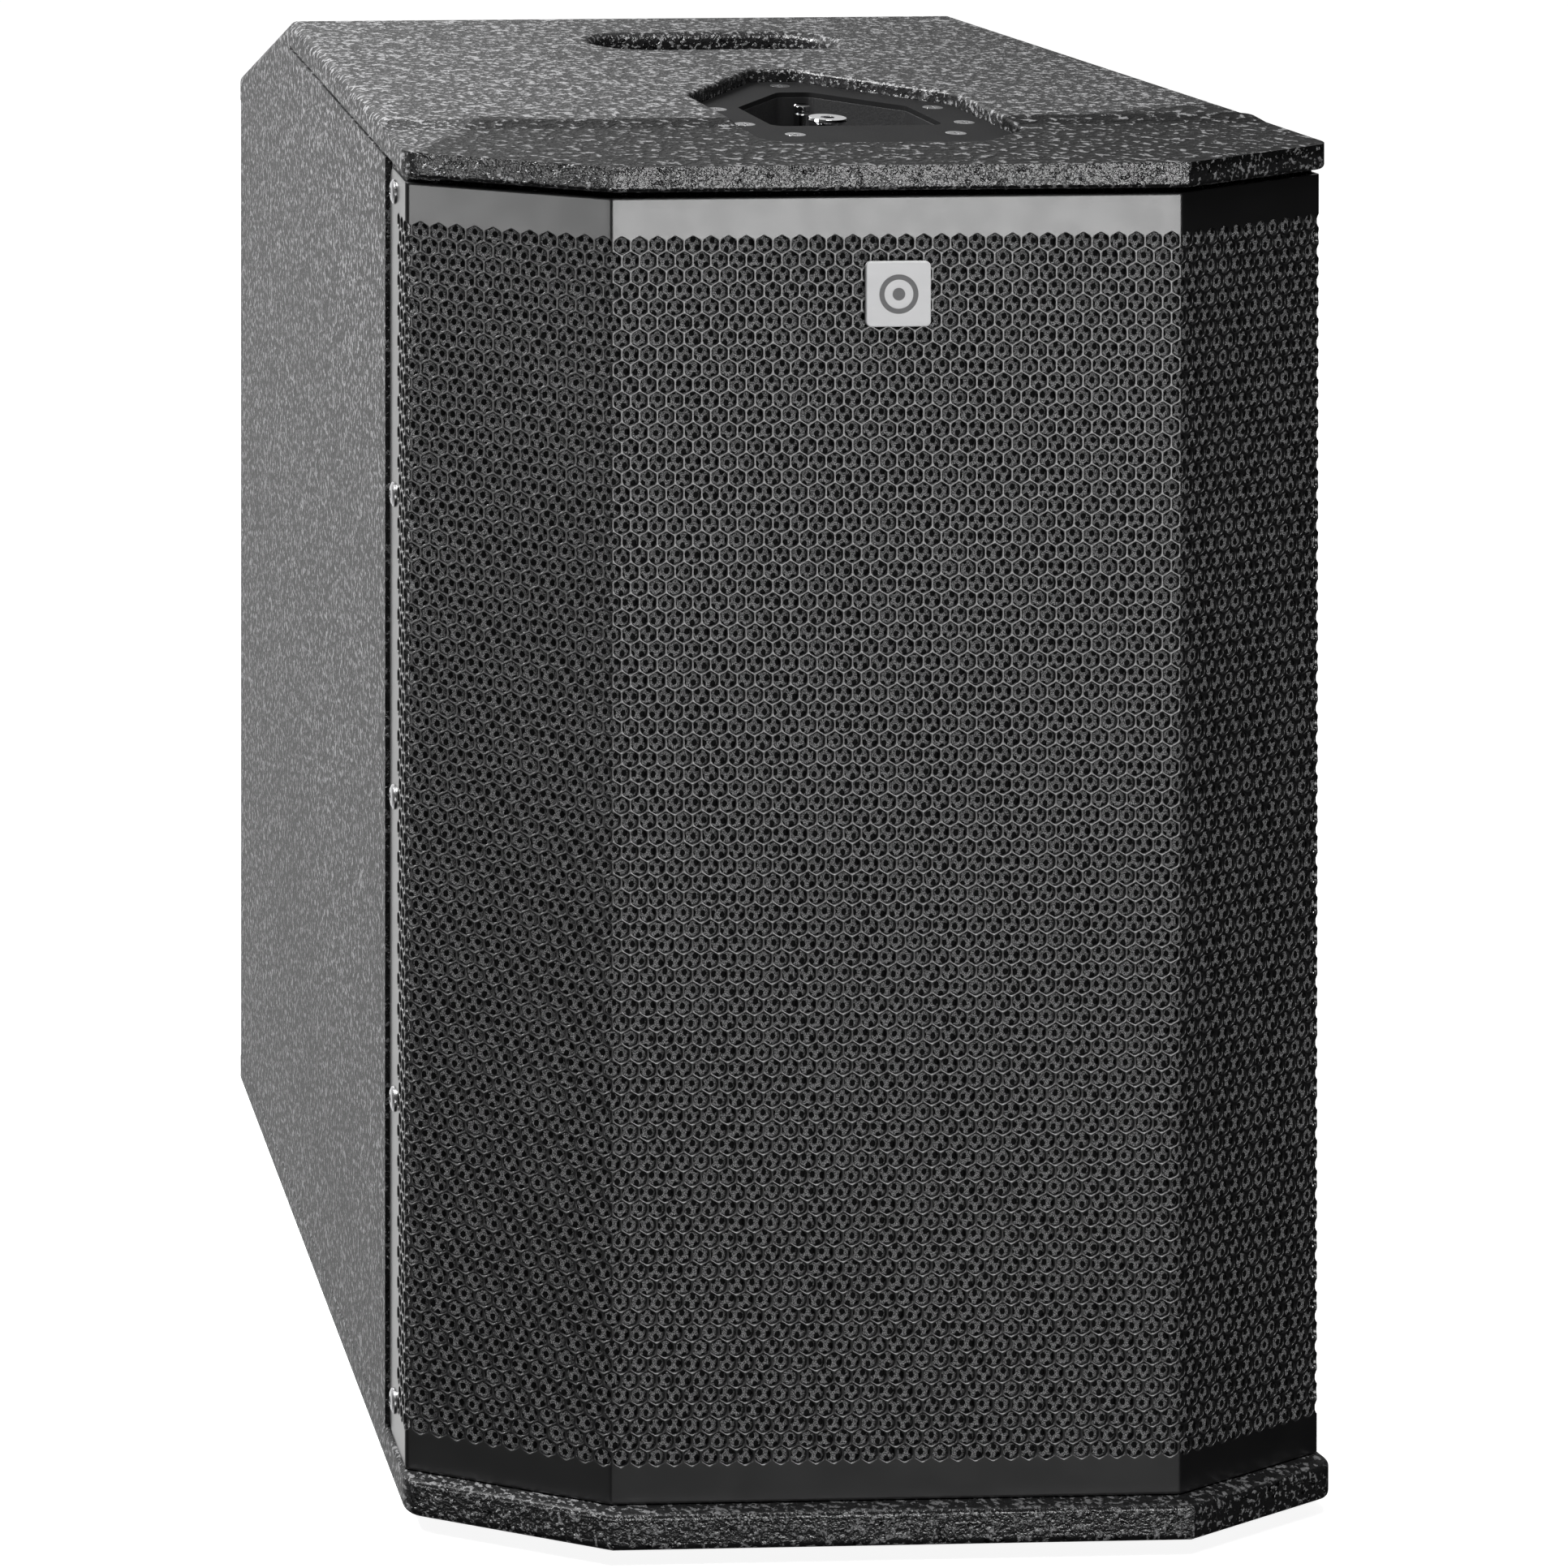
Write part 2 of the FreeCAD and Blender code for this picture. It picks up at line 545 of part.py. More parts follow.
def dock_tray():
    """Moulded well that carries the post and the stud, with a flange under the plate."""
    z1 = PLATE_TOP - PLATE_T
    z0 = z1 - TRAY_FLANGE_T
    floor = z0 - TRAY_DEPTH
    flange = rounded_prism(dock_outline(0.7), z0, z1, DOCK_CORNER_R - 0.7)
    body = rounded_prism(well_outline(-CUP_WALL), floor, z1, WELL_CORNER_R + CUP_WALL)
    tray = flange.fuse(body).removeSplitter()
    tray = tray.cut(rounded_prism(well_outline(0.4), floor + CUP_WALL, z1, WELL_CORNER_R))
    holes = [rod(V(x, y, z0), UP, 2.0, TRAY_FLANGE_T) for x, y in dock_screw_places()]
    holes += [rod(V(TOP_FEATURE_X, y, floor), UP, 3.0, CUP_WALL) for y in (POST_Y, STUD_Y)]
    return tray.cut(holes)


TRAY_FLOOR = PLATE_TOP - PLATE_T - TRAY_FLANGE_T - TRAY_DEPTH + CUP_WALL
PIN_TOP = TOP_Z - DOCK_PIN_TOP_SUNK


def dock_post():
    """Plain contact post with a groove under its head and a collar at its foot."""
    h = PIN_TOP - TRAY_FLOOR
    tail = CUP_WALL + DOCK_TAIL_L
    groove = POST_R - 0.35
    profile = [(0, -tail), (DOCK_TAIL_R, -tail), (DOCK_TAIL_R, 0), (6.0, 0), (6.0, 3), (POST_R, 3),
               (POST_R, h - 3.8), (groove, h - 3.4), (groove, h - 2.6), (POST_R, h - 2.2), (POST_R, h - 0.6),
               (POST_R - 0.6, h), (0, h)]
    return turned(profile, V(TOP_FEATURE_X, POST_Y, TRAY_FLOOR), UP)


def dock_stud():
    """Locking stud: mushroom head on a stepped neck, with a hexagon socket in the head."""
    h = PIN_TOP - TRAY_FLOOR
    tail = CUP_WALL + DOCK_TAIL_L
    profile = [(0, -tail), (DOCK_TAIL_R, -tail), (DOCK_TAIL_R, 0), (8.0, 0), (8.0, 4),
               (STUD_NECK_R, 4), (STUD_NECK_R, h - 9), (5.6, h - 8), (5.6, h - 5.5),
               (STUD_NECK_R, h - 4.8), (STUD_NECK_R, h - 3.2),
               (STUD_HEAD_R - 0.6, h - 1.6), (STUD_HEAD_R, h - 1.0), (STUD_HEAD_R - 0.5, h), (0, h)]
    stud = turned(profile, V(TOP_FEATURE_X, STUD_Y, TRAY_FLOOR), UP)
    return stud.cut(prism_xy(hexagon(TOP_FEATURE_X, STUD_Y, STUD_KEY_R), PIN_TOP - STUD_KEY_DEPTH, PIN_TOP))


def dock_nuts():
    """Hexagon nuts under the tray."""
    nuts = []
    z1 = TRAY_FLOOR - CUP_WALL
    for y in (POST_Y, STUD_Y):
        nut = prism_xy(hexagon(TOP_FEATURE_X, y, DOCK_NUT_R), z1 - DOCK_NUT_T, z1)
        nuts.append(nut.cut(rod(V(TOP_FEATURE_X, y, z1 - DOCK_NUT_T), UP, DOCK_TAIL_R, DOCK_NUT_T)))
    return Part.makeCompound(nuts)


# ---- feet -----------------------------------------------------------------------------------
FOOT_R = 14.0
FOOT_SHANK_R = 2.3
FOOT_PLACES = [(-118, -180), (118, -180), (-96, 196), (96, 196)]


def rubber_feet():
    profile = [(5.6, 0), (FOOT_R - 1.5, 0), (FOOT_R, 1.5), (FOOT_R, FOOT_H), (2.5, FOOT_H), (2.5, 3.0),
               (5.6, 3.0)]
    return Part.makeCompound([turned(profile, V(x, y, 0), UP) for x, y in FOOT_PLACES])


def foot_screws():
    profile = [(0, 1.0), (4.6, 1.0), (5.2, 1.6), (5.2, 3.0), (FOOT_SHANK_R, 3.0), (FOOT_SHANK_R, 16.0),
               (0, 18.0)]
    return Part.makeCompound([turned(profile, V(x, y, 0), UP) for x, y in FOOT_PLACES])


# ---- woofer ---------------------------------------------------------------------------------
WOOFER = V(0, BAFFLE_Y, WOOFER_Z)      # centre of the flange's seat, axis towards the back
FLANGE_SCREWS = 8
FLANGE_SCREW_R = 122.5


def around(radius, count, start=0.0):
    """Places on a circle round the woofer's axis."""
    places = []
    for k in range(count):
        a = math.radians(start + 360 / count * k)
        places.append(V(radius * math.cos(a), 0, radius * math.sin(a)))
    return places


def woofer_basket():
    """Pressed steel frame: flange, tapering skirt with windows, and a seat for the magnet."""
    d = BASKET_DEPTH
    profile = [(114.5, -FLANGE_T), (FLANGE_R, -FLANGE_T), (FLANGE_R, 0), (115.8, 0), (115.8, 22),
               (70, d - 12), (70, d), (34, d), (34, d - 2), (68, d - 2), (68, d - 13), (113.8, 21)]
    basket = turned(profile, WOOFER, BACK)
    windows = []
    for k in range(6):
        window = box(-24, 24, BAFFLE_Y + 28, BAFFLE_Y + d - 18, WOOFER_Z + 60, WOOFER_Z + 120)
        window.rotate(WOOFER, BACK, 30 + 60 * k)
        windows.append(window)
    holes = []
    for p in around(FLANGE_SCREW_R, FLANGE_SCREWS):
        holes.append(rod(WOOFER + p + V(0, -FLANGE_T, 0), BACK, WOOFER_SHANK_R + 0.1, FLANGE_T))
    return basket.cut(windows + holes)


def woofer_gasket():
    return tube(WOOFER + V(0, -FLANGE_T - 2, 0), BACK, 118.0, 114.8, 2)


def woofer_surround():
    """Rubber half roll between cone and frame."""
    half = (SURROUND_R - CONE_R) / 2
    middle = (SURROUND_R + CONE_R) / 2
    steps = 10
    outer = [(middle - half * math.cos(math.pi * k / steps), half * math.sin(math.pi * k / steps))
             for k in range(steps + 1)]
    inner = [(middle - (half - 1) * math.cos(math.pi * k / steps), (half - 1) * math.sin(math.pi * k / steps))
             for k in range(steps, -1, -1)]
    return turned(outer + inner, WOOFER + V(0, -0.5, 0), FRONT)


def woofer_cone():
    profile = [(CONE_R, 0), (CONE_R, 1.4), (COIL_R + 1.2, 52.4), (COIL_R + 1.2, 51)]
    return turned(profile, WOOFER, BACK)


def woofer_dust_cap():
    """Shallow dome over the voice coil."""
    r, rise, t = 38.0, 11.0, 0.8
    big = (r * r + rise * rise) / (2 * rise)
    steps = 8
    top = math.asin(r / big)
    outer = [(big * math.sin(top * k / steps), big * math.cos(top * k / steps) - big + rise)
             for k in range(steps, -1, -1)]
    inner = [(x, y - t) for x, y in reversed(outer)]
    return turned(outer + inner, WOOFER + V(0, 41.6, 0), FRONT)


def woofer_voice_coil():
    length = TOP_PLATE_T + 2 * CONE_TRAVEL + 20
    return tube(WOOFER + V(0, 52.5, 0), BACK, COIL_R + 0.4, COIL_R - 0.2, length)


def woofer_spider():
    """Corrugated centring disc on the frame's inner shelf."""
    steps = 24
    r0, r1 = COIL_R + 0.9, 71.8
    waves, height = 4, 2.0
    upper = [(r0 + (r1 - r0) * k / steps, height * math.sin(2 * math.pi * waves * k / steps))
             for k in range(steps + 1)]
    lower = [(x, y - 0.7) for x, y in reversed(upper)]
    return turned(upper + lower, WOOFER + V(0, 68, 0), BACK)


def woofer_top_plate():
    return tube(WOOFER + V(0, BASKET_DEPTH, 0), BACK, 66, COIL_R + 1.2, TOP_PLATE_T)


def woofer_magnet():
    return tube(WOOFER + V(0, BASKET_DEPTH + TOP_PLATE_T, 0), BACK, MAGNET_R, 34, MAGNET_T)


def woofer_yoke():
    y = BASKET_DEPTH + TOP_PLATE_T + MAGNET_T
    plate = tube(WOOFER + V(0, y, 0), BACK, 71, 8, 8)
    pole = tube(WOOFER + V(0, BASKET_DEPTH, 0), BACK, COIL_R - 1.2, 8, y - BASKET_DEPTH)
    return plate.fuse(pole).removeSplitter()


def woofer_screws():
    profile = [(0, 0), (4.2, 0), (4.2, 1.6), (3.0, 2.6), (0, 2.9)]
    screws = []
    for p in around(FLANGE_SCREW_R, FLANGE_SCREWS):
        base = WOOFER + p + V(0, -FLANGE_T, 0)
        shank = rod(base, BACK, WOOFER_SHANK_R, WOOFER_SHANK_L)
        screws.append(turned(profile, base, FRONT).fuse(shank).removeSplitter())
    return Part.makeCompound(screws)


def woofer_terminals():
    """Two push terminals on a small board at the skirt of the frame."""
    y = BAFFLE_Y + BASKET_DEPTH - 10
    board = box(-14, 14, y - 2, y + 8, WOOFER_Z - 84, WOOFER_Z - 72.5)
    pegs = [box(x - 2, x + 2, y + 8, y + 18, WOOFER_Z - 80, WOOFER_Z - 76) for x in (-8, 8)]
    return board.fuse(pegs).removeSplitter()


# ---- amplifier ------------------------------------------------------------------------------
COMBO_PLACES = [(-62.0, 356.0), (-20.0, 356.0)]
XLR_OUT_PLACES = [(22.0, 356.0), (64.0, 356.0)]
KNOB_PLACES = {"input_1": (-62.0, 318.0), "input_2": (-20.0, 318.0), "aux": (22.0, 318.0),
               "sub_level": (64.0, 318.0)}
AUX_PLACES = [(-62.0, 286.0), (-46.0, 286.0)]
BUTTON_PLACE = (-20.0, 286.0)
LED_PLACES = [(10.0, 286.0), (22.0, 286.0), (34.0, 286.0), (46.0, 286.0)]
INLET_PLACE = (-58.0, 84.0)
SWITCH_PLACE = (-8.0, 84.0)
SOCKET_FLANGE = 26.0
SINK_W = 150.0
SINK_H = 128.0
SINK_Z = 196.0
FIN_COUNT = 15
FIN_T = 2.0
FIN_DEPTH = 8.0
INLET_W = 27.4
INLET_H = 19.8
SWITCH_W = 21.0
SWITCH_H = 28.0
ROCKER_AXIS_Y = AMP_FACE - 2.0
TRUNNION_R = 1.2
TRUNNION_HALF = 9.5      # from the rocker's middle to the end of each trunnion


def amp_screw_places():
    places = []
    for x in (-AMP_W / 2 + 6, AMP_W / 2 - 6):
        for k in range(4):
            places.append((x, AMP_Z - AMP_H / 2 + 8 + k * (AMP_H - 16) / 3))
    places += [(0, AMP_Z - AMP_H / 2 + 8), (0, AMP_Z + AMP_H / 2 - 8)]
    return places


def amp_panel():
    plate = centred_box(0, AMP_Z, AMP_W, AMP_H, REAR_PANEL_FACE, AMP_FACE)
    plate = fillet(plate, 5.0, lambda b: b.YLength > 1 and b.XLength < 0.01 and b.ZLength < 0.01)
    through = []
    for x, z in COMBO_PLACES + XLR_OUT_PLACES:
        through.append(rod(V(x, REAR_PANEL_FACE, z), BACK, 12.0, AMP_T))
    for x, z in COMBO_PLACES:
        through.append(centred_box(x, z + LATCH_RISE, LATCH_W + LATCH_PLAY, LATCH_H + LATCH_PLAY,
                                   REAR_PANEL_FACE, AMP_FACE))
    for x, z in KNOB_PLACES.values():
        through.append(rod(V(x, REAR_PANEL_FACE, z), BACK, 3.6, AMP_T))
    for x, z in AUX_PLACES:
        through.append(rod(V(x, REAR_PANEL_FACE, z), BACK, 5.0, AMP_T))
    for x, z in LED_PLACES:
        through.append(rod(V(x, REAR_PANEL_FACE, z), BACK, 1.6, AMP_T))
    through.append(rod(V(BUTTON_PLACE[0], REAR_PANEL_FACE, BUTTON_PLACE[1]), BACK, 4.0, AMP_T))
    through.append(centred_box(*INLET_PLACE, INLET_W, INLET_H, REAR_PANEL_FACE, AMP_FACE))
    through.append(centred_box(*SWITCH_PLACE, SWITCH_W, SWITCH_H, REAR_PANEL_FACE, AMP_FACE))
    for x, z in amp_screw_places():
        through.append(rod(V(x, REAR_PANEL_FACE, z), BACK, 2.1, AMP_T))
    return plate.cut(through)


def amp_panel_screws():
    profile = [(0, 0), (3.9, 0), (3.7, 1.0), (2.6, 2.0), (1.3, 2.3), (1.3, 1.0), (0, 1.0)]
    screws = []
    for x, z in amp_screw_places():
        base = V(x, AMP_FACE, z)
        shank = rod(base, FRONT, AMP_SHANK_R, AMP_T + 10)
        screws.append(turned(profile, base, BACK).fuse(shank).removeSplitter())
    return Part.makeCompound(screws)


def amp_heatsink():
    sink = centred_box(0, SINK_Z, SINK_W, SINK_H, AMP_FACE, AMP_FACE + 2)
    fins = []
    for k in range(FIN_COUNT):
        x = -SINK_W / 2 + FIN_T / 2 + k * (SINK_W - FIN_T) / (FIN_COUNT - 1)
        fins.append(centred_box(x, SINK_Z, FIN_T, SINK_H, AMP_FACE + 2, AMP_FACE + 2 + FIN_DEPTH))
    return sink.fuse(fins).removeSplitter()


def amp_backbox():
    """Airtight steel box inside the cabinet, behind the amplifier panel."""
    y1 = REAR_PANEL_FACE
    w, h = AMP_HOLE_W - 1, AMP_HOLE_H - 1
    shell = centred_box(0, AMP_Z, w, h, y1 - BOX_DEPTH, y1)
    shell = shell.cut(centred_box(0, AMP_Z, w - 2.4, h - 2.4, y1 - BOX_DEPTH + 1.2, y1))
    return shell.cut(rod(V(0, y1 - BOX_DEPTH, AMP_Z + 120), BACK, 4.2, 1.2))


def input_board():
    """Mixer board behind the sockets and potentiometers."""
    y = REAR_PANEL_FACE - 30
    board = centred_box(0, 322, 164, 104, y, y + 1.6)
    chips = [centred_box(x, 300, 12, 12, y - 2.4, y) for x in (-40, 0, 40)]
    return board.fuse(chips).removeSplitter()


def amplifier_board():
    y = REAR_PANEL_FACE - 60
    board = centred_box(0, 226, 150, 74, y, y + 1.6)
    coils = [rod(V(x, y + 1.6, 216), BACK, 11, 16) for x in (-45, -15)]
    drums = [rod(V(x, y + 1.6, 240), BACK, 9, 28) for x in (20, 44)]
    return board.fuse(coils + drums).removeSplitter()


def power_supply_board():
    y = REAR_PANEL_FACE - 60
    board = centred_box(0, 122, 150, 118, y, y + 1.6)
    transformer = centred_box(44, 140, 42, 40, y + 1.6, y + 32)
    drums = [rod(V(x, y + 1.6, 152), BACK, 12, 30) for x in (-50, -22)]
    return board.fuse([transformer] + drums).removeSplitter()


def board_spacers():
    """Round spacers that carry the three boards behind the amplifier panel."""
    rows = [(276, 368, 76, REAR_PANEL_FACE - 28.4), (194, 258, 70, REAR_PANEL_FACE - 58.4),
            (70, 174, 70, REAR_PANEL_FACE - 58.4)]
    spacers = []
    for low, high, half_width, y in rows:
        for z in (low, high):
            spacers += [rod(V(side * half_width, y, z), BACK, 3.0, REAR_PANEL_FACE - y) for side in (-1, 1)]
    return Part.makeCompound(spacers)


def pot_bodies():
    """Potentiometer cases with threaded bushes through the panel."""
    pots = []
    for x, z in KNOB_PLACES.values():
        case = centred_box(x, z, 14, 14, REAR_PANEL_FACE - 9, REAR_PANEL_FACE)
        bush = rod(V(x, REAR_PANEL_FACE, z), BACK, 3.5, AMP_T)
        bore = rod(V(x, REAR_PANEL_FACE - 8, z), BACK, SHAFT_R + SHAFT_CLEAR, 8 + AMP_T)
        pots.append(case.fuse(bush).cut(bore).removeSplitter())
    return Part.makeCompound(pots)


def knob(place):
    """Fluted knob with a raised pointer, on its own shaft."""
    x, z = place
    base = V(x, AMP_FACE + KNOB_GAP, z)
    skirt = [(0, 0), (KNOB_R, 0), (KNOB_R, 1.6), (KNOB_R - 1.2, 2.4), (KNOB_R - 1.8, KNOB_H - 3.2),
             (KNOB_R - 2.6, KNOB_H - 2.4), (0, KNOB_H - 2.4)]
    body = turned(skirt, base, BACK)
    flutes = []
    for k in range(12):
        a = math.radians(30 * k + 15)
        centre = base + V((KNOB_R - 0.9) * math.cos(a), 2.4, (KNOB_R - 0.9) * math.sin(a))
        flutes.append(rod(centre, BACK, 0.8, KNOB_H))
    body = body.cut(flutes)
    pointer = box(x - 0.5, x + 0.5, base.y + KNOB_H - 2.4, base.y + KNOB_H - 1.9, z + 1.0, z + KNOB_R - 2.9)
    shaft = rod(V(x, REAR_PANEL_FACE - 7.5, z), BACK, SHAFT_R, 7.5 + AMP_T + KNOB_GAP)
    return body.fuse([pointer, shaft]).removeSplitter()


def combo_sockets():
    """Input sockets that take a three-pin or a jack plug."""
    sockets = []
    for x, z in COMBO_PLACES:
        flange = centred_box(x, z, SOCKET_FLANGE, SOCKET_FLANGE + 5, AMP_FACE, AMP_FACE + 2)
        flange = fillet(flange, 3.0, lambda b: b.YLength > 1 and b.XLength < 0.01 and b.ZLength < 0.01)
        barrel = rod(V(x, AMP_FACE, z), FRONT, 11.8, SOCKET_DEPTH + 8)
        shell = flange.fuse(barrel)
        bore = rod(V(x, AMP_FACE + 2, z), FRONT, SOCKET_BORE_R, 2 + SOCKET_DEPTH)
        core = rod(V(x, AMP_FACE - SOCKET_DEPTH, z), BACK, 7.6, 9)
        core = core.fuse(rod(V(x, AMP_FACE - SOCKET_DEPTH, z), FRONT, 7.6, 0.5))
        jack = rod(V(x, AMP_FACE + 2, z), FRONT, 3.3, SOCKET_DEPTH + 8)
        pins = [rod(V(x + 5.2 * math.cos(math.radians(a)), AMP_FACE - SOCKET_DEPTH + 9,
                      z + 5.2 * math.sin(math.radians(a))), FRONT, 1.3, 8) for a in (-150, -90, -30)]
        latch_slot = centred_box(x, z + LATCH_RISE, LATCH_W + LATCH_PLAY, LATCH_H + LATCH_PLAY,
                                 AMP_FACE - 5 - LATCH_TRAVEL, AMP_FACE + 2)
        sockets.append(shell.cut(bore).fuse(core).cut([jack, latch_slot] + pins).removeSplitter())
    return Part.makeCompound(sockets)


def latch(place):
    """Release tab above an input socket."""
    x, z = place
    top = AMP_FACE + 2.4 + LATCH_TRAVEL
    tab = centred_box(x, z + LATCH_RISE, LATCH_W, LATCH_H, AMP_FACE - 4, top)
    return fillet(tab, 0.8, lambda b: b.YMin > top - 0.01)


def xlr_outputs():
    """Output sockets with three pins in a round recess."""
    sockets = []
    for x, z in XLR_OUT_PLACES:
        flange = centred_box(x, z, SOCKET_FLANGE, SOCKET_FLANGE + 5, AMP_FACE, AMP_FACE + 2)
        flange = fillet(flange, 3.0, lambda b: b.YLength > 1 and b.XLength < 0.01 and b.ZLength < 0.01)
        barrel = rod(V(x, AMP_FACE, z), FRONT, 11.8, SOCKET_DEPTH + 4)
        bore = rod(V(x, AMP_FACE + 2, z), FRONT, SOCKET_BORE_R, 2 + SOCKET_DEPTH)
        pins = [rod(V(x + 5.2 * math.cos(math.radians(a)), AMP_FACE - SOCKET_DEPTH,
                      z + 5.2 * math.sin(math.radians(a))), BACK, 1.2, 9) for a in (-150, -90, -30)]
        sockets.append(flange.fuse(barrel).cut(bore).fuse(pins).removeSplitter())
    return Part.makeCompound(sockets)


def aux_sockets():
    """Pair of phono sockets."""
    sockets = []
    for x, z in AUX_PLACES:
        collar = rod(V(x, AMP_FACE, z), BACK, 6.5, 1.2)
        barrel = rod(V(x, REAR_PANEL_FACE - 6, z), BACK, 4.15, 6 + AMP_T + 8)
        bore = tube(V(x, AMP_FACE - 2, z), BACK, 3.7, 2.9, 10)
        core_hole = rod(V(x, AMP_FACE - 2, z), BACK, 1.6, 10)
        sockets.append(collar.fuse(barrel).cut([bore, core_hole]).removeSplitter())
    return Part.makeCompound(sockets)


def status_leds():
    profile = [(0, -AMP_T - 4), (1.5, -AMP_T - 4), (1.5, 0.6), (1.2, 1.2), (0.6, 1.55), (0, 1.65)]
    return Part.makeCompound([turned(profile, V(x, AMP_FACE, z), BACK) for x, z in LED_PLACES])


def mode_button():
    """Round push button with a collar behind the panel that stops it coming out."""
    x, z = BUTTON_PLACE
    out = BUTTON_TRAVEL + 1.1
    profile = [(0, -AMP_T - 3.4), (4.8, -AMP_T - 3.4), (4.8, -AMP_T - 2.0), (3.6, -AMP_T - 2.0),
               (3.6, out), (3.0, out + 0.6), (0, out + 0.8)]
    return turned(profile, V(x, AMP_FACE, z), BACK)


def mains_inlet():
    """Three-pin appliance inlet in a flanged shell."""
    x, z = INLET_PLACE
    flange = centred_box(x, z, 48, 23, AMP_FACE, AMP_FACE + 2.6)
    flange = fillet(flange, 5.0, lambda b: b.YLength > 1 and b.XLength < 0.01 and b.ZLength < 0.01)
    shell = centred_box(x, z, INLET_W - 0.2, INLET_H - 0.2, AMP_FACE - 24, AMP_FACE)
    w, h, cut = 24.0, 16.2, 4.4
    cavity = [(x - w / 2, z - h / 2), (x + w / 2, z - h / 2), (x + w / 2, z + h / 2 - cut),
              (x + w / 2 - cut, z + h / 2), (x - w / 2 + cut, z + h / 2), (x - w / 2, z + h / 2 - cut)]
    wire = Part.makePolygon([V(a, AMP_FACE + 2.6, b) for a, b in cavity + [cavity[0]]])
    hollow = Part.Face(wire).extrude(V(0, -20, 0))
    pins = [centred_box(x + dx, z + dz, 2.0, 4.0, AMP_FACE - 20, AMP_FACE - 4.4)
            for dx, dz in ((-7, -2.4), (7, -2.4), (0, 3.2))]
    screws = [turned(SCREW_HEAD, V(x + side * 20, AMP_FACE + 2.6, z), BACK) for side in (-1, 1)]
    return flange.fuse(shell).cut(hollow).fuse(pins + screws).removeSplitter()


def power_switch_frame():
    x, z = SWITCH_PLACE
    bezel = centred_box(x, z, SWITCH_W + 4, SWITCH_H + 4, AMP_FACE, AMP_FACE + 1.8)
    body = centred_box(x, z, SWITCH_W - 0.2, SWITCH_H - 0.2, AMP_FACE - 20, AMP_FACE)
    hollow = centred_box(x, z, SWITCH_W - 4, SWITCH_H - 4, AMP_FACE - 10, AMP_FACE + 1.8)
    half = TRUNNION_HALF + 0.2
    bearing = rod(V(x - half, ROCKER_AXIS_Y, z), V(1, 0, 0), TRUNNION_R + SHAFT_CLEAR, 2 * half)
    return bezel.fuse(body).cut([hollow, bearing]).removeSplitter()


def power_rocker():
    """Rocker that tips on two short trunnions; at rest it lies on its upper stop."""
    x, z = SWITCH_PLACE
    w, h = SWITCH_W - 4.8, SWITCH_H - 5.4
    y = AMP_FACE - 1.0
    outline = [(y - 5.5, z - 3), (y - 1.5, z - h / 2), (y + 2.6, z - h / 2), (y + 1.2, z),
               (y + 2.6, z + h / 2), (y - 1.5, z + h / 2), (y - 5.5, z + 3)]
    rocker = prism_yz(outline, x - w / 2, x + w / 2)
    rocker.rotate(V(x, ROCKER_AXIS_Y, z), V(1, 0, 0), ROCKER_TILT)
    trunnions = rod(V(x - TRUNNION_HALF, ROCKER_AXIS_Y, z), V(1, 0, 0), TRUNNION_R, 2 * TRUNNION_HALF)
    return rocker.fuse(trunnions).removeSplitter()


def wire_run(points, radius):
    """Round cable along straight runs joined by tangent arcs."""
    edges = []
    start = points[0]
    for i in range(1, len(points) - 1):
        a, b, c = points[i - 1], points[i], points[i + 1]
        back = (a - b).normalize()
        ahead = (c - b).normalize()
        turn = math.pi - back.getAngle(ahead)
        shorter = min((a - b).Length, (c - b).Length)
        reach = 0.45 * shorter
        bend = reach / math.tan(turn / 2)
        p0 = b + back * reach
        p1 = b + ahead * reach
        half = (back + ahead).normalize()
        middle = b + half * (math.hypot(bend, reach) - bend)
        edges.append(Part.LineSegment(start, p0).toShape())
        edges.append(Part.Arc(p0, middle, p1).toShape())
        start = p1
        print("cable bend radius", round(bend, 1))
    edges.append(Part.LineSegment(start, points[-1]).toShape())
    path = Part.Wire(edges)
    first = (points[1] - points[0]).normalize()
    ring = Part.Wire(Part.makeCircle(radius, points[0], first))
    cable = path.makePipeShell([ring], True, True)
    length = sum(edge.Length for edge in edges)
    print("cable volume against section times length", cable.Volume, math.pi * radius ** 2 * length)
    return cable


def woofer_cables():
    """Two leads from the woofer's terminals to the amplifier box."""
    cables = []
    for side in (-1, 1):
        start = V(side * 8, BAFFLE_Y + BASKET_DEPTH + 8.2, WOOFER_Z - 78)
        end = V(side * 12, REAR_PANEL_FACE - BOX_DEPTH, 262)
        points = [start, V(side * 9, start.y + 40, start.z - 12), V(side * 14, start.y + 84, start.z - 8),
                  V(side * 20, start.y + 122, start.z + 12), V(side * 22, start.y + 160, start.z + 34),
                  V(side * 15, end.y - 26, end.z), end]
        cables.append(wire_run(points, 1.6))
    return Part.makeCompound(cables)


def dock_cable():
    """Lead from the dock post to the amplifier box."""
    start = V(TOP_FEATURE_X, POST_Y, TRAY_FLOOR - CUP_WALL - 10)
    end = V(0, REAR_PANEL_FACE - BOX_DEPTH, AMP_Z + 120)
    points = [start, V(TOP_FEATURE_X, POST_Y, start.z - 24), V(TOP_FEATURE_X - 1, POST_Y + 22, start.z - 48),
              V(16, POST_Y + 62, start.z - 64), V(9, POST_Y + 108, start.z - 78),
              V(2, POST_Y + 156, end.z + 2), end]
    return wire_run(points, 2.4)


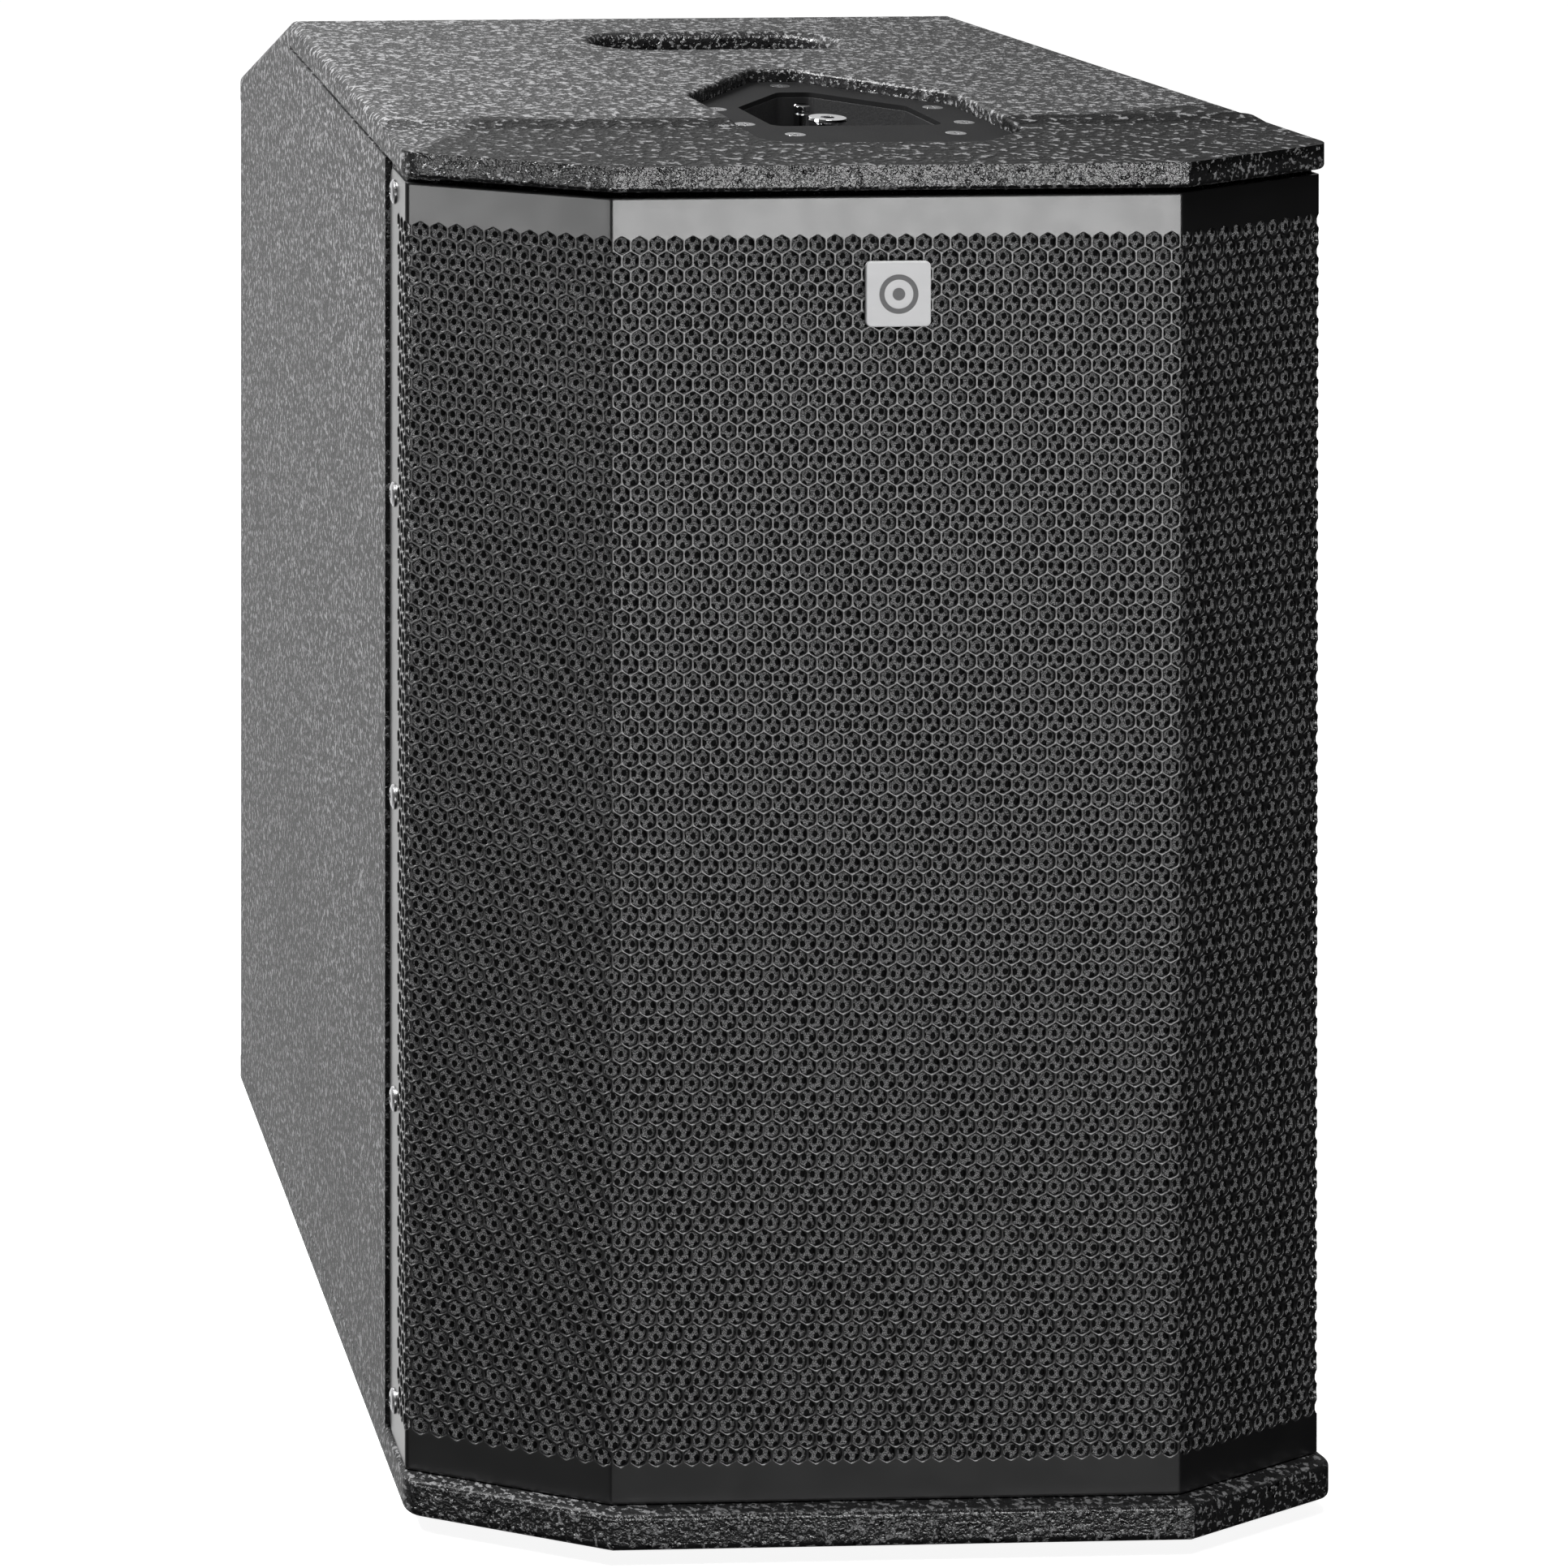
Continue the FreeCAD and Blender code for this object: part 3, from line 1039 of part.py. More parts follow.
# ---- write every node -----------------------------------------------------------------------
def all_nodes():
    nodes = {
        "top_panel": top_panel(), "bottom_panel": bottom_panel(),
        "left_side_panel": side_panel(-1), "right_side_panel": side_panel(1),
        "rear_panel": rear_panel(), "rear_slope_panel": rear_slope_panel(),
        "front_baffle": front_baffle(), "cross_brace": cross_brace(), "port_tubes": port_tubes(),
        "damping_lining": damping_lining(),
        "front_grille": front_grille(), "grille_screws": grille_screws(),
        "grille_fabric": grille_fabric(), "grille_badge": grille_badge(),
        "handle_cup": handle_cup(),
        "dock_plate": dock_plate(), "dock_plate_screws": dock_plate_screws(), "dock_tray": dock_tray(),
        "dock_post": dock_post(), "dock_stud": dock_stud(), "dock_nuts": dock_nuts(),
        "rubber_feet": rubber_feet(), "foot_screws": foot_screws(),
        "woofer_basket": woofer_basket(), "woofer_gasket": woofer_gasket(),
        "woofer_surround": woofer_surround(), "woofer_cone": woofer_cone(),
        "woofer_dust_cap": woofer_dust_cap(), "woofer_voice_coil": woofer_voice_coil(),
        "woofer_spider": woofer_spider(), "woofer_top_plate": woofer_top_plate(),
        "woofer_magnet": woofer_magnet(), "woofer_yoke": woofer_yoke(),
        "woofer_screws": woofer_screws(), "woofer_terminals": woofer_terminals(),
        "amp_panel": amp_panel(), "amp_panel_screws": amp_panel_screws(),
        "amp_heatsink": amp_heatsink(), "amp_backbox": amp_backbox(),
        "input_board": input_board(), "amplifier_board": amplifier_board(),
        "power_supply_board": power_supply_board(), "board_spacers": board_spacers(),
        "pot_bodies": pot_bodies(),
        "combo_sockets": combo_sockets(), "xlr_outputs": xlr_outputs(), "aux_sockets": aux_sockets(),
        "status_leds": status_leds(), "mode_button": mode_button(), "mains_inlet": mains_inlet(),
        "power_switch_frame": power_switch_frame(), "power_rocker": power_rocker(),
        "woofer_cables": woofer_cables(), "dock_cable": dock_cable(),
        "latch_1": latch(COMBO_PLACES[0]), "latch_2": latch(COMBO_PLACES[1]),
    }
    for name, place in KNOB_PLACES.items():
        nodes["knob_" + name] = knob(place)
    return nodes


os.makedirs("parts", exist_ok=True)
for name, shape in all_nodes().items():
    if not shape.isValid():
        print("not valid:", name)
    shape.exportStep(os.path.join("parts", name + ".step"))
    print(name, len(shape.Solids), round(shape.Volume, 1))
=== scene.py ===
import bmesh
import bpy
import json
import math
import numpy as np
from mathutils import Matrix, Vector


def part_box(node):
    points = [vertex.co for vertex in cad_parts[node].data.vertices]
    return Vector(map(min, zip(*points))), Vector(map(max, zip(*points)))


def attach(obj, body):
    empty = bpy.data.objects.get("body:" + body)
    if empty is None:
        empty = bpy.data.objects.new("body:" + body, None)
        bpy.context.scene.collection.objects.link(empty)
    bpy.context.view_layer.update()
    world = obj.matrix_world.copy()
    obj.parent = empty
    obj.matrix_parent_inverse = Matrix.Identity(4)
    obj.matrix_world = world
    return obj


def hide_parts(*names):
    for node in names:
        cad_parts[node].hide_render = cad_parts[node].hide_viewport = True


# Powered subwoofer cabinet: looks. Metres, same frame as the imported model, front towards -Y.

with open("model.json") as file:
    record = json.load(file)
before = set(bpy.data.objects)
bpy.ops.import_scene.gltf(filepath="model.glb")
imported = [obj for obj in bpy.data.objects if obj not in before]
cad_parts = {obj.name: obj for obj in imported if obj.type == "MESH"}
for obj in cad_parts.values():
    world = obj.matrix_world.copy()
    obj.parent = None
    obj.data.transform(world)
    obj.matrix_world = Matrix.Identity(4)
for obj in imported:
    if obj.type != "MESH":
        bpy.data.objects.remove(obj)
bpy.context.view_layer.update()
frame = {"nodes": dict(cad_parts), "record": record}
NODES = frame["nodes"]
MM = 0.001
BODY = "cabinet"

# ---- grille: driving sizes -----------------------------------------------------------------
HEX_PITCH = 6.7 * MM             # between neighbouring holes in a row
HEX_FLATS = 5.75 * MM            # hole across its flats, at the sheet's front
HEX_CORNER = 0.75 * MM           # how far each hole corner is cut back along its sides
HOLE_COLUMNS = 30                # on each side of the middle in the longer rows
HOLE_ROWS = 79                   # the first and last rows are longer ones
TOP_BORDER = 17.7 * MM           # sheet edge to the centres of the first row
SHEET_T = 1.2 * MM
FRONT_BEND_R = 3.6 * MM
CORNER_BEND_R = 2.2 * MM
FRONT_TURN = math.radians(25.8)
FLANGE_TURN = math.radians(70.5)
FLANGE_CORNER_R = 7.0 * MM
FABRIC_TURN_IN = 2.0 * MM        # how far the spacer mesh goes round the corner
# A hole's edge from front to back, as rings of (outwards, deeper), so that it is rounded.
EDGE_RINGS = [(0.17 * MM, 0.0), (0.05 * MM, 0.07 * MM), (0.0, 0.24 * MM), (0.0, SHEET_T)]
BORDER_RINGS = [(1.0 * MM, 0.0)] + EDGE_RINGS     # one more ring keeps the border flat up to its edge
ARC_STEPS = 6

# ---- coarser front zone of the top, whose colour is darkened as painted shade --------------
ZONE_Y = -143.4 * MM             # its straight rear boundary
ZONE_BEND_X = 105 * MM           # from here the boundary follows the facets
ZONE_FACET_SLOPE = 0.36
ZONE_CORNER_SLOPE = 1.469        # and from the left lip corner it runs slantwise inwards
ZONE_CORNER_Y = 54.5 * MM
ZONE_BLUR = 1.5 * MM
ZONE_LOW = 515 * MM              # it fades in between these heights, just under the top face
ZONE_FULL = 518 * MM

# ---- fabric, knitted flat ------------------------------------------------------------------
KNIT_PITCH = 3.67                # between holes in a row, in millimetres of the flat pattern
KNIT_TURN = math.radians(3.7)
KNIT_HOLE = 0.92                 # painted near black, as the shade seen through the hole, within this distance of a hole's centre
KNIT_THREAD = 1.22               # and thread beyond this one
KNIT_SHAKE = 0.9                 # holes stray from their lattice by up to half of this

# ---- studio --------------------------------------------------------------------------------
CAMERA_PLACE = Vector((-0.7230, -2.1040, 0.8904))
LOOK_AT = Vector((-0.0426, -0.2270, 0.2888))
PLANE_YAW = math.radians(2.126)     # the picture plane stands almost parallel to the front
PLANE_PITCH = math.radians(0.470)
PLANE_ROLL = math.radians(-0.103)
LENS = 128.5
# Light from round a direction: (direction, cosine where it starts, cosine where it is full, strength).
WORLD_LOBES = [((-0.15, 1.0, -0.25), 0.55, 0.97, 1.1),
               ((-0.1, 0.5, 1), 0.2, 1.0, 0.22),
               ((-1, -0.4, 0.4), -0.3, 1.0, 0.02)]


# ---- camera, floor and lights ---------------------------------------------------------------
def make_camera():
    """A view camera: an upright picture plane, looked through at a slant, so uprights stay parallel."""
    turn = Matrix.Rotation(PLANE_ROLL, 3, "Y") @ Matrix.Rotation(PLANE_PITCH, 3, "X")
    turn = turn @ Matrix.Rotation(PLANE_YAW, 3, "Z")
    right, up = turn.row[0], turn.row[2]
    back = (CAMERA_PLACE - LOOK_AT).normalized()
    data = bpy.data.cameras.new("view_camera")
    data.lens = LENS
    data.clip_end = 60
    camera = bpy.data.objects.new("view_camera", data)
    stand = bpy.data.objects.new("camera_stand", None)
    for thing in (camera, stand):
        bpy.context.scene.collection.objects.link(thing)
    camera.parent = stand
    columns = Matrix((right, up, back)).transposed().to_4x4()
    camera.matrix_parent_inverse = Matrix.Translation(CAMERA_PLACE) @ columns
    bpy.context.scene.camera = camera


def area_light(name, place, target, width, height, power):
    data = bpy.data.lights.new(name, "AREA")
    data.shape = "RECTANGLE"
    data.size = width
    data.size_y = height
    data.energy = power
    light = bpy.data.objects.new(name, data)
    light.location = place
    light.visible_camera = False
    light.rotation_euler = (Vector(target) - Vector(place)).to_track_quat("-Z", "Y").to_euler()
    bpy.context.scene.collection.objects.link(light)


def make_lights():
    """Softboxes round the cabinet. The two front ones stand low, where the upper front reflects them."""
    area_light("key_softbox", (-0.95, 0.0, 1.25), (-0.17, 0.0, 0.42), 0.4, 0.4, 24)
    area_light("back_softbox", (-0.2, 1.9, 1.5), (0, 0, 0.5), 1.2, 0.8, 9)
    area_light("top_softbox", (-0.1, -0.75, 1.75), (0, -0.2, 0.5), 0.7, 0.5, 14)
    area_light("front_softbox", (0.95, -2.75, -0.10), (0, -0.2, 0.45), 1.3, 0.5, 22)
    area_light("left_softbox", (-1.75, -2.25, -0.05), (-0.14, -0.2, 0.45), 0.8, 0.5, 7.5)
    area_light("flange_strip", (-0.30, 1.9, -0.35), (-0.17, -0.2, 0.3), 0.2, 1.3, 1.0)


def make_world():
    """White for the camera; for everything else a studio that is bright behind and above, dark right."""
    world = bpy.data.worlds.new("studio")
    bpy.context.scene.world = world
    world.use_nodes = True
    tree = world.node_tree
    tree.nodes.clear()

    def node(kind, **settings):
        made = tree.nodes.new(kind)
        for key, value in settings.items():
            setattr(made, key, value)
        return made

    def lobe(direction, start, end, strength):
        """Light that is full round one direction and fades out away from it."""
        dot = node("ShaderNodeVectorMath", operation="DOT_PRODUCT")
        tree.links.new(place.outputs["Generated"], dot.inputs[0])
        dot.inputs[1].default_value = Vector(direction).normalized()
        fade = node("ShaderNodeMapRange", interpolation_type="SMOOTHSTEP")
        tree.links.new(dot.outputs["Value"], fade.inputs["Value"])
        fade.inputs["From Min"].default_value = start
        fade.inputs["From Max"].default_value = end
        fade.inputs["To Max"].default_value = strength
        return fade.outputs["Result"]

    def add(a, b):
        made = node("ShaderNodeMath", operation="ADD")
        tree.links.new(a, made.inputs[0])
        tree.links.new(b, made.inputs[1])
        return made.outputs[0]

    place = node("ShaderNodeTexCoord")
    light = lobe(*WORLD_LOBES[0])
    for settings in WORLD_LOBES[1:]:
        light = add(light, lobe(*settings))
    studio = node("ShaderNodeBackground")
    tree.links.new(light, studio.inputs["Strength"])
    seen = node("ShaderNodeBackground")
    seen.inputs["Color"].default_value = (1, 1, 1, 1)
    rays = node("ShaderNodeLightPath")
    mix = node("ShaderNodeMixShader")
    tree.links.new(rays.outputs["Is Camera Ray"], mix.inputs["Fac"])
    tree.links.new(studio.outputs[0], mix.inputs[1])
    tree.links.new(seen.outputs[0], mix.inputs[2])
    out = node("ShaderNodeOutputWorld")
    tree.links.new(mix.outputs[0], out.inputs["Surface"])


def make_floor():
    """Pale seamless floor. It is lit mostly by itself, so that only a soft shadow shows on it."""
    mesh = bpy.data.meshes.new("studio_floor")
    reach = 14.0
    mesh.from_pydata([(-reach, -reach, 0), (reach, -reach, 0), (reach, reach, 0), (-reach, reach, 0)], [],
                     [(0, 1, 2, 3)])
    floor = bpy.data.objects.new("studio_floor", mesh)
    bpy.context.scene.collection.objects.link(floor)
    look = Look("studio_floor", (0.8, 0.8, 0.8), 0.9)
    look.set("Specular IOR Level", 0.0)
    look.set("Emission Color", (1, 1, 1, 1))
    look.set("Emission Strength", 0.9)
    mesh.materials.append(look.material)
    floor.visible_glossy = False
    floor.visible_diffuse = False
    floor.visible_shadow = False


# ---- material kit ---------------------------------------------------------------------------
class Look:
    """A Principled material, and short calls for the procedural nodes that feed it."""

    def __init__(self, name, color, roughness, metallic=0.0):
        self.material = bpy.data.materials.new(name)
        self.material.use_nodes = True
        self.material.diffuse_color = (*color, 1)
        self.tree = self.material.node_tree
        self.shader = self.tree.nodes["Principled BSDF"]
        self.color = (*color, 1)
        self.set("Base Color", self.color)
        self.set("Roughness", roughness)
        self.set("Metallic", metallic)
        self.place = self.tree.nodes.new("ShaderNodeTexCoord").outputs["Object"]
        self.normal = None

    def set(self, socket, value):
        self.shader.inputs[socket].default_value = value

    def node(self, kind, **settings):
        made = self.tree.nodes.new(kind)
        for key, value in settings.items():
            setattr(made, key, value)
        return made

    def join(self, source, target):
        if isinstance(source, (int, float, tuple)):
            target.default_value = source
        else:
            self.tree.links.new(source, target)

    def mapped(self, place=None, scale=(1, 1, 1), turn=0.0):
        made = self.node("ShaderNodeMapping")
        self.join(place or self.place, made.inputs["Vector"])
        made.inputs["Scale"].default_value = scale
        made.inputs["Rotation"].default_value = (0, 0, turn)
        return made.outputs[0]

    def noise(self, size, detail=2.0, rough=0.5, place=None):
        """Cloudy noise from 0 to 1, with features about size metres across."""
        made = self.node("ShaderNodeTexNoise")
        self.join(place or self.place, made.inputs["Vector"])
        made.inputs["Scale"].default_value = 1 / size
        made.inputs["Detail"].default_value = detail
        made.inputs["Roughness"].default_value = rough
        return made.outputs["Fac"]

    def span(self, value, low, high, out_low=0.0, out_high=1.0, soft=True):
        made = self.node("ShaderNodeMapRange", interpolation_type="SMOOTHSTEP" if soft else "LINEAR")
        self.join(value, made.inputs["Value"])
        for key, number in (("From Min", low), ("From Max", high), ("To Min", out_low), ("To Max", out_high)):
            self.join(number, made.inputs[key])
        return made.outputs["Result"]

    def math(self, operation, a, b=0.0):
        made = self.node("ShaderNodeMath", operation=operation)
        self.join(a, made.inputs[0])
        self.join(b, made.inputs[1])
        return made.outputs[0]

    def mixed(self, amount, a, b):
        """a where amount is 0, b where it is 1."""
        made = self.node("ShaderNodeMix")
        self.join(amount, made.inputs["Factor"])
        self.join(a, made.inputs["A"])
        self.join(b, made.inputs["B"])
        return made.outputs["Result"]

    def vector(self, operation, a, *others):
        made = self.node("ShaderNodeVectorMath", operation=operation)
        self.join(a, made.inputs[0])
        for k, other in enumerate(others):
            made.inputs[k + 1].default_value = other
        return made.outputs["Value" if operation in ("LENGTH", "DOT_PRODUCT") else "Vector"]

    def tint(self, amount, other, base=None):
        """Mix the colour towards other by amount, and use it."""
        made = self.node("ShaderNodeMix", data_type="RGBA")
        self.join(amount, made.inputs["Factor"])
        self.join(base or self.color, made.inputs["A"])
        self.join((*other, 1) if isinstance(other, tuple) else other, made.inputs["B"])
        self.join(made.outputs["Result"], self.shader.inputs["Base Color"])
        return made.outputs["Result"]

    def rough(self, value):
        self.join(value, self.shader.inputs["Roughness"])

    def edges(self, radius):
        """Soften sharp edges to this radius in the shading."""
        made = self.node("ShaderNodeBevel", samples=4)
        made.inputs["Radius"].default_value = radius
        self.normal = made.outputs[0]
        self.join(self.normal, self.shader.inputs["Normal"])

    def bump(self, height, depth, strength=1.0):
        made = self.node("ShaderNodeBump")
        self.join(height, made.inputs["Height"])
        self.join(strength, made.inputs["Strength"])
        made.inputs["Distance"].default_value = depth
        if self.normal is not None:
            self.join(self.normal, made.inputs["Normal"])
        self.normal = made.outputs[0]
        self.join(self.normal, self.shader.inputs["Normal"])


# ---- materials ------------------------------------------------------------------------------
def lowered_zone(look):
    """1 on the coarser front zone of the top, 0 elsewhere; the paint uses it for coarser bumps and for
    painted shade.
    """
    split = look.node("ShaderNodeSeparateXYZ")
    look.join(look.place, split.inputs[0])
    x, y, z = split.outputs
    outside = look.math("SUBTRACT", look.math("ABSOLUTE", x), ZONE_BEND_X)
    bent = look.math("MULTIPLY", look.math("MAXIMUM", outside, 0.0), ZONE_FACET_SLOPE)
    front = look.math("SUBTRACT", look.math("ADD", bent, ZONE_Y), y)
    corner = look.math("ADD", look.math("MULTIPLY", x, ZONE_CORNER_SLOPE), ZONE_CORNER_Y)
    front = look.math("MINIMUM", front, look.math("SUBTRACT", corner, y))
    zone = look.span(front, -ZONE_BLUR, ZONE_BLUR)
    return look.math("MULTIPLY", zone, look.span(z, ZONE_LOW, ZONE_FULL))


def textured_paint():
    """Black structured speaker paint: fine spattered flecks on the faces, coarse glossy pimples on the lips.
    The lighter flecks and pimple tops are painted highlights standing for glints; the front zone of the top
    and the hollows on the lips are darkened as painted shade.
    """
    look = Look("structured_paint", (0.014, 0.014, 0.0145), 0.5)
    facing = look.node("ShaderNodeNewGeometry").outputs["Normal"]
    lip = look.span(look.vector("DOT_PRODUCT", facing, (0.0, -1.0, 0.0)), 0.35, 0.75)
    zone = lowered_zone(look)
    coarse = look.math("MAXIMUM", lip, zone)
    fine = look.noise(2.4 * MM, 3.0, 0.62)
    large = look.mixed(lip, look.noise(4.2 * MM, 3.0, 0.62), look.noise(2.0 * MM, 2.5, 0.6))
    # Flecks and pimple tops are lightened in colour: painted highlights standing for the glints of the
    # paint's pimples.
    fine_painted_glint = look.span(fine, 0.53, 0.60)
    pimple_bump_and_painted_glint = look.span(large, 0.54, 0.64)
    pits_and_painted_shade = look.span(look.noise(3.1 * MM, 1.0), 0.27, 0.36, 1.0, 0.0)
    bright = look.mixed(coarse, fine_painted_glint, pimple_bump_and_painted_glint)
    spread = look.span(look.noise(160 * MM, 2.0), 0.3, 0.7, 0.85, 1.15)
    bright = look.math("MULTIPLY", bright, spread)
    # Lighten the painted highlights towards pale grey, scaled by a slow random tone.
    paint_with_painted_light = look.tint(bright, (0.27, 0.27, 0.275))
    # The coarser front zone of the top is darkened in colour towards near black: painted shade.
    zone_painted_shade = look.math("MULTIPLY", zone, look.span(bright, 0.0, 1.0, 0.8, 0.25))
    paint_with_painted_light = look.tint(zone_painted_shade, (0.004, 0.004, 0.004), paint_with_painted_light)
    # Hollows on the lips are darkened to near black: painted shade in the hollows, on top of their bump.
    look.tint(look.math("MULTIPLY", lip, look.math("MULTIPLY", pits_and_painted_shade, 0.9)), (0.001, 0.001, 0.001), paint_with_painted_light)
    shine = look.mixed(lip, look.span(zone, 0.0, 1.0, 0.42, 0.14), 1.0)
    look.join(shine, look.shader.inputs["Specular IOR Level"])
    look.rough(look.span(lip, 0.0, 1.0, 0.5, 0.24))
    look.bump(look.mixed(coarse, fine, large), 1.2 * MM, look.span(lip, 0.0, 1.0, 0.9, 0.42))
    look.bump(look.math("SUBTRACT", pimple_bump_and_painted_glint, pits_and_painted_shade), 0.22 * MM, lip)
    return look.material


def powder_coat(name, color, roughness, peel=0.9 * MM, shine=0.5, depth=0.03 * MM):
    look = Look(name, color, roughness)
    look.set("Specular IOR Level", shine)
    look.tint(look.noise(40 * MM, 2.0), tuple(c * 1.5 for c in color))
    look.rough(look.span(look.noise(12 * MM, 3.0), 0.3, 0.7, roughness - 0.01, roughness + 0.01))
    look.bump(look.noise(peel, 2.0), depth, 0.8)
    return look.material


def bright_metal(name, color, roughness, brushed=(1, 1, 1), depth=0.01 * MM):
    look = Look(name, color, roughness, metallic=1.0)
    streak = look.noise(0.5 * MM, 3.0, 0.6, look.mapped(scale=brushed))
    look.tint(look.noise(9 * MM, 2.0), tuple(c * 0.8 for c in color))
    look.rough(look.span(streak, 0.3, 0.7, roughness * 0.8, roughness * 1.3))
    look.edges(0.25 * MM)
    look.bump(streak, depth, 0.5)
    return look.material


def badge_silver():
    """Satin silver with a plain ring and dot pressed into it."""
    look = Look("satin_silver", (0.90, 0.90, 0.91), 0.6, metallic=0.15)
    look.set("Specular IOR Level", 0.8)
    low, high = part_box("grille_badge")
    away = look.vector("SUBTRACT", look.place, tuple((low + high) / 2))
    away = look.vector("LENGTH", look.vector("MULTIPLY", away, (1.0, 0.0, 1.0)))
    ring = look.math("ABSOLUTE", look.math("SUBTRACT", away, 6.4 * MM))
    ring = look.span(ring, 0.8 * MM, 1.1 * MM, 1.0, 0.0)
    mark = look.math("MAXIMUM", ring, look.span(away, 2.2 * MM, 2.5 * MM, 1.0, 0.0))
    streak = look.noise(0.5 * MM, 3.0, 0.6, look.mapped(scale=(0.08, 1, 1)))
    look.tint(mark, (0.20, 0.20, 0.205))
    look.rough(look.span(streak, 0.3, 0.7, 0.55, 0.7))
    look.edges(0.4 * MM)
    look.bump(look.math("SUBTRACT", streak, look.math("MULTIPLY", mark, 6.0)), 0.02 * MM, 0.8)
    return look.material


def moulding(name, color, roughness, grain=0.6 * MM, depth=0.05 * MM, shine=0.5):
    """Moulded plastic or rubber with a fine spark-eroded grain."""
    look = Look(name, color, roughness)
    look.set("Specular IOR Level", shine)
    grains = look.noise(grain, 2.0, 0.6)
    look.tint(look.noise(18 * MM, 3.0), tuple(c * 1.6 + 0.004 for c in color))
    look.rough(look.span(grains, 0.3, 0.7, roughness - 0.05, roughness + 0.08))
    look.edges(0.3 * MM)
    look.bump(grains, depth, 0.8)
    return look.material


def plywood():
    look = Look("birch_plywood", (0.60, 0.44, 0.27), 0.6)
    grain = look.noise(3 * MM, 4.0, 0.6, look.mapped(scale=(0.15, 1, 1)))
    plies = look.node("ShaderNodeTexWave", wave_type="BANDS", bands_direction="Z")
    look.join(look.place, plies.inputs["Vector"])
    plies.inputs["Scale"].default_value = 110
    plies.inputs["Distortion"].default_value = 0.6
    warm = look.tint(look.span(grain, 0.35, 0.7), (0.42, 0.28, 0.15))
    look.tint(look.span(plies.outputs["Fac"], 0.4, 0.9, 0.0, 0.45), (0.30, 0.19, 0.10), warm)
    look.bump(grain, 0.12 * MM, 0.6)
    return look.material


def cloth(name, color, thread=0.9 * MM, depth=0.25 * MM, light=1.8):
    """Plain woven or pressed cloth."""
    look = Look(name, color, 0.92)
    along = look.node("ShaderNodeTexWave", bands_direction="DIAGONAL")
    look.join(look.place, along.inputs["Vector"])
    along.inputs["Scale"].default_value = 0.16 / thread
    along.inputs["Distortion"].default_value = 1.5
    fuzz = look.noise(thread * 0.5, 3.0, 0.7)
    look.tint(look.span(fuzz, 0.35, 0.75), tuple(min(1, c * light) for c in color))
    look.set("Sheen Weight", 0.3)
    look.bump(look.math("ADD", along.outputs["Fac"], fuzz), depth, 0.7)
    return look.material


def spacer_mesh():
    """Knitted spacer mesh: fuzzy grey threads with painted highlights on their fibres, round small holes
    painted near black as painted shade, on a triangular lattice.
    """
    look = Look("spacer_mesh", (0.035, 0.035, 0.036), 0.8)
    look.set("Specular IOR Level", 0.25)
    half_pitch = KNIT_PITCH / 2
    half_row = half_pitch * math.sqrt(3)
    flat = look.node("ShaderNodeTexCoord").outputs["UV"]
    flat = look.mapped(flat, (1 / MM, 1 / MM, 1), KNIT_TURN)
    shake = look.node("ShaderNodeTexNoise")
    look.join(flat, shake.inputs["Vector"])
    shake.inputs["Scale"].default_value = 0.9
    centred = look.vector("SUBTRACT", shake.outputs["Color"], (0.5, 0.5, 0.5))
    drift = look.vector("MULTIPLY", centred, (KNIT_SHAKE, KNIT_SHAKE, 0))
    bent = look.node("ShaderNodeVectorMath", operation="ADD")
    look.join(flat, bent.inputs[0])
    look.join(drift, bent.inputs[1])
    nearest = None
    for shift in ((0, 0, 0), (half_pitch, half_row, 0)):
        moved = look.vector("ADD", bent.outputs[0], shift)
        wrapped = look.vector("WRAP", moved, (half_pitch, half_row, 1), (-half_pitch, -half_row, -1))
        distance = look.vector("LENGTH", look.vector("MULTIPLY", wrapped, (1.15, 0.88, 0)))
        nearest = distance if nearest is None else look.math("MINIMUM", nearest, distance)
    thread = look.span(nearest, KNIT_HOLE, KNIT_THREAD)
    fibre = look.noise(0.42, 2.5, 0.7, flat)
    # Fibres lightened towards pale grey: partly the grey of the threads, partly painted highlight on them.
    lit = look.math("MULTIPLY", thread, look.span(fibre, 0.40, 0.66))
    dark = look.tint(lit, (0.72, 0.72, 0.725))
    # The holes are painted near black: painted shade seen through the openings of the knit.
    look.tint(thread, dark, (0.001, 0.001, 0.001, 1))
    look.bump(look.math("MULTIPLY", thread, look.math("ADD", fibre, 0.8)), 0.7 * MM, 1.0)
    return look.material


def circuit_board():
    look = Look("circuit_board", (0.02, 0.13, 0.05), 0.35)
    tracks = look.node("ShaderNodeTexBrick")
    look.join(look.place, tracks.inputs["Vector"])
    tracks.inputs["Scale"].default_value = 160
    tracks.inputs["Mortar Size"].default_value = 0.12
    look.tint(look.span(tracks.outputs["Fac"], 0.2, 0.8, 0.0, 0.5), (0.05, 0.26, 0.10))
    look.bump(tracks.outputs["Fac"], 0.04 * MM, 0.5)
    return look.material


def paper_cone():
    look = Look("coated_paper", (0.018, 0.018, 0.019), 0.62)
    pulp = look.noise(2.5 * MM, 5.0, 0.65)
    look.tint(look.span(pulp, 0.4, 0.8), (0.045, 0.045, 0.047))
    look.bump(pulp, 0.3 * MM, 0.5)
    return look.material


def winding():
    look = Look("copper_winding", (0.72, 0.36, 0.18), 0.3, metallic=1.0)
    turns = look.node("ShaderNodeTexWave", bands_direction="Y")
    look.join(look.place, turns.inputs["Vector"])
    turns.inputs["Scale"].default_value = 640
    look.tint(turns.outputs["Fac"], (0.35, 0.15, 0.07))
    look.bump(turns.outputs["Fac"], 0.12 * MM, 0.8)
    return look.material


def lamp_lens():
    look = Look("lamp_lens", (0.10, 0.45, 0.16), 0.25)
    look.tint(look.noise(1.2 * MM), (0.2, 0.7, 0.3))
    look.set("Transmission Weight", 0.25)
    look.edges(0.2 * MM)
    return look.material


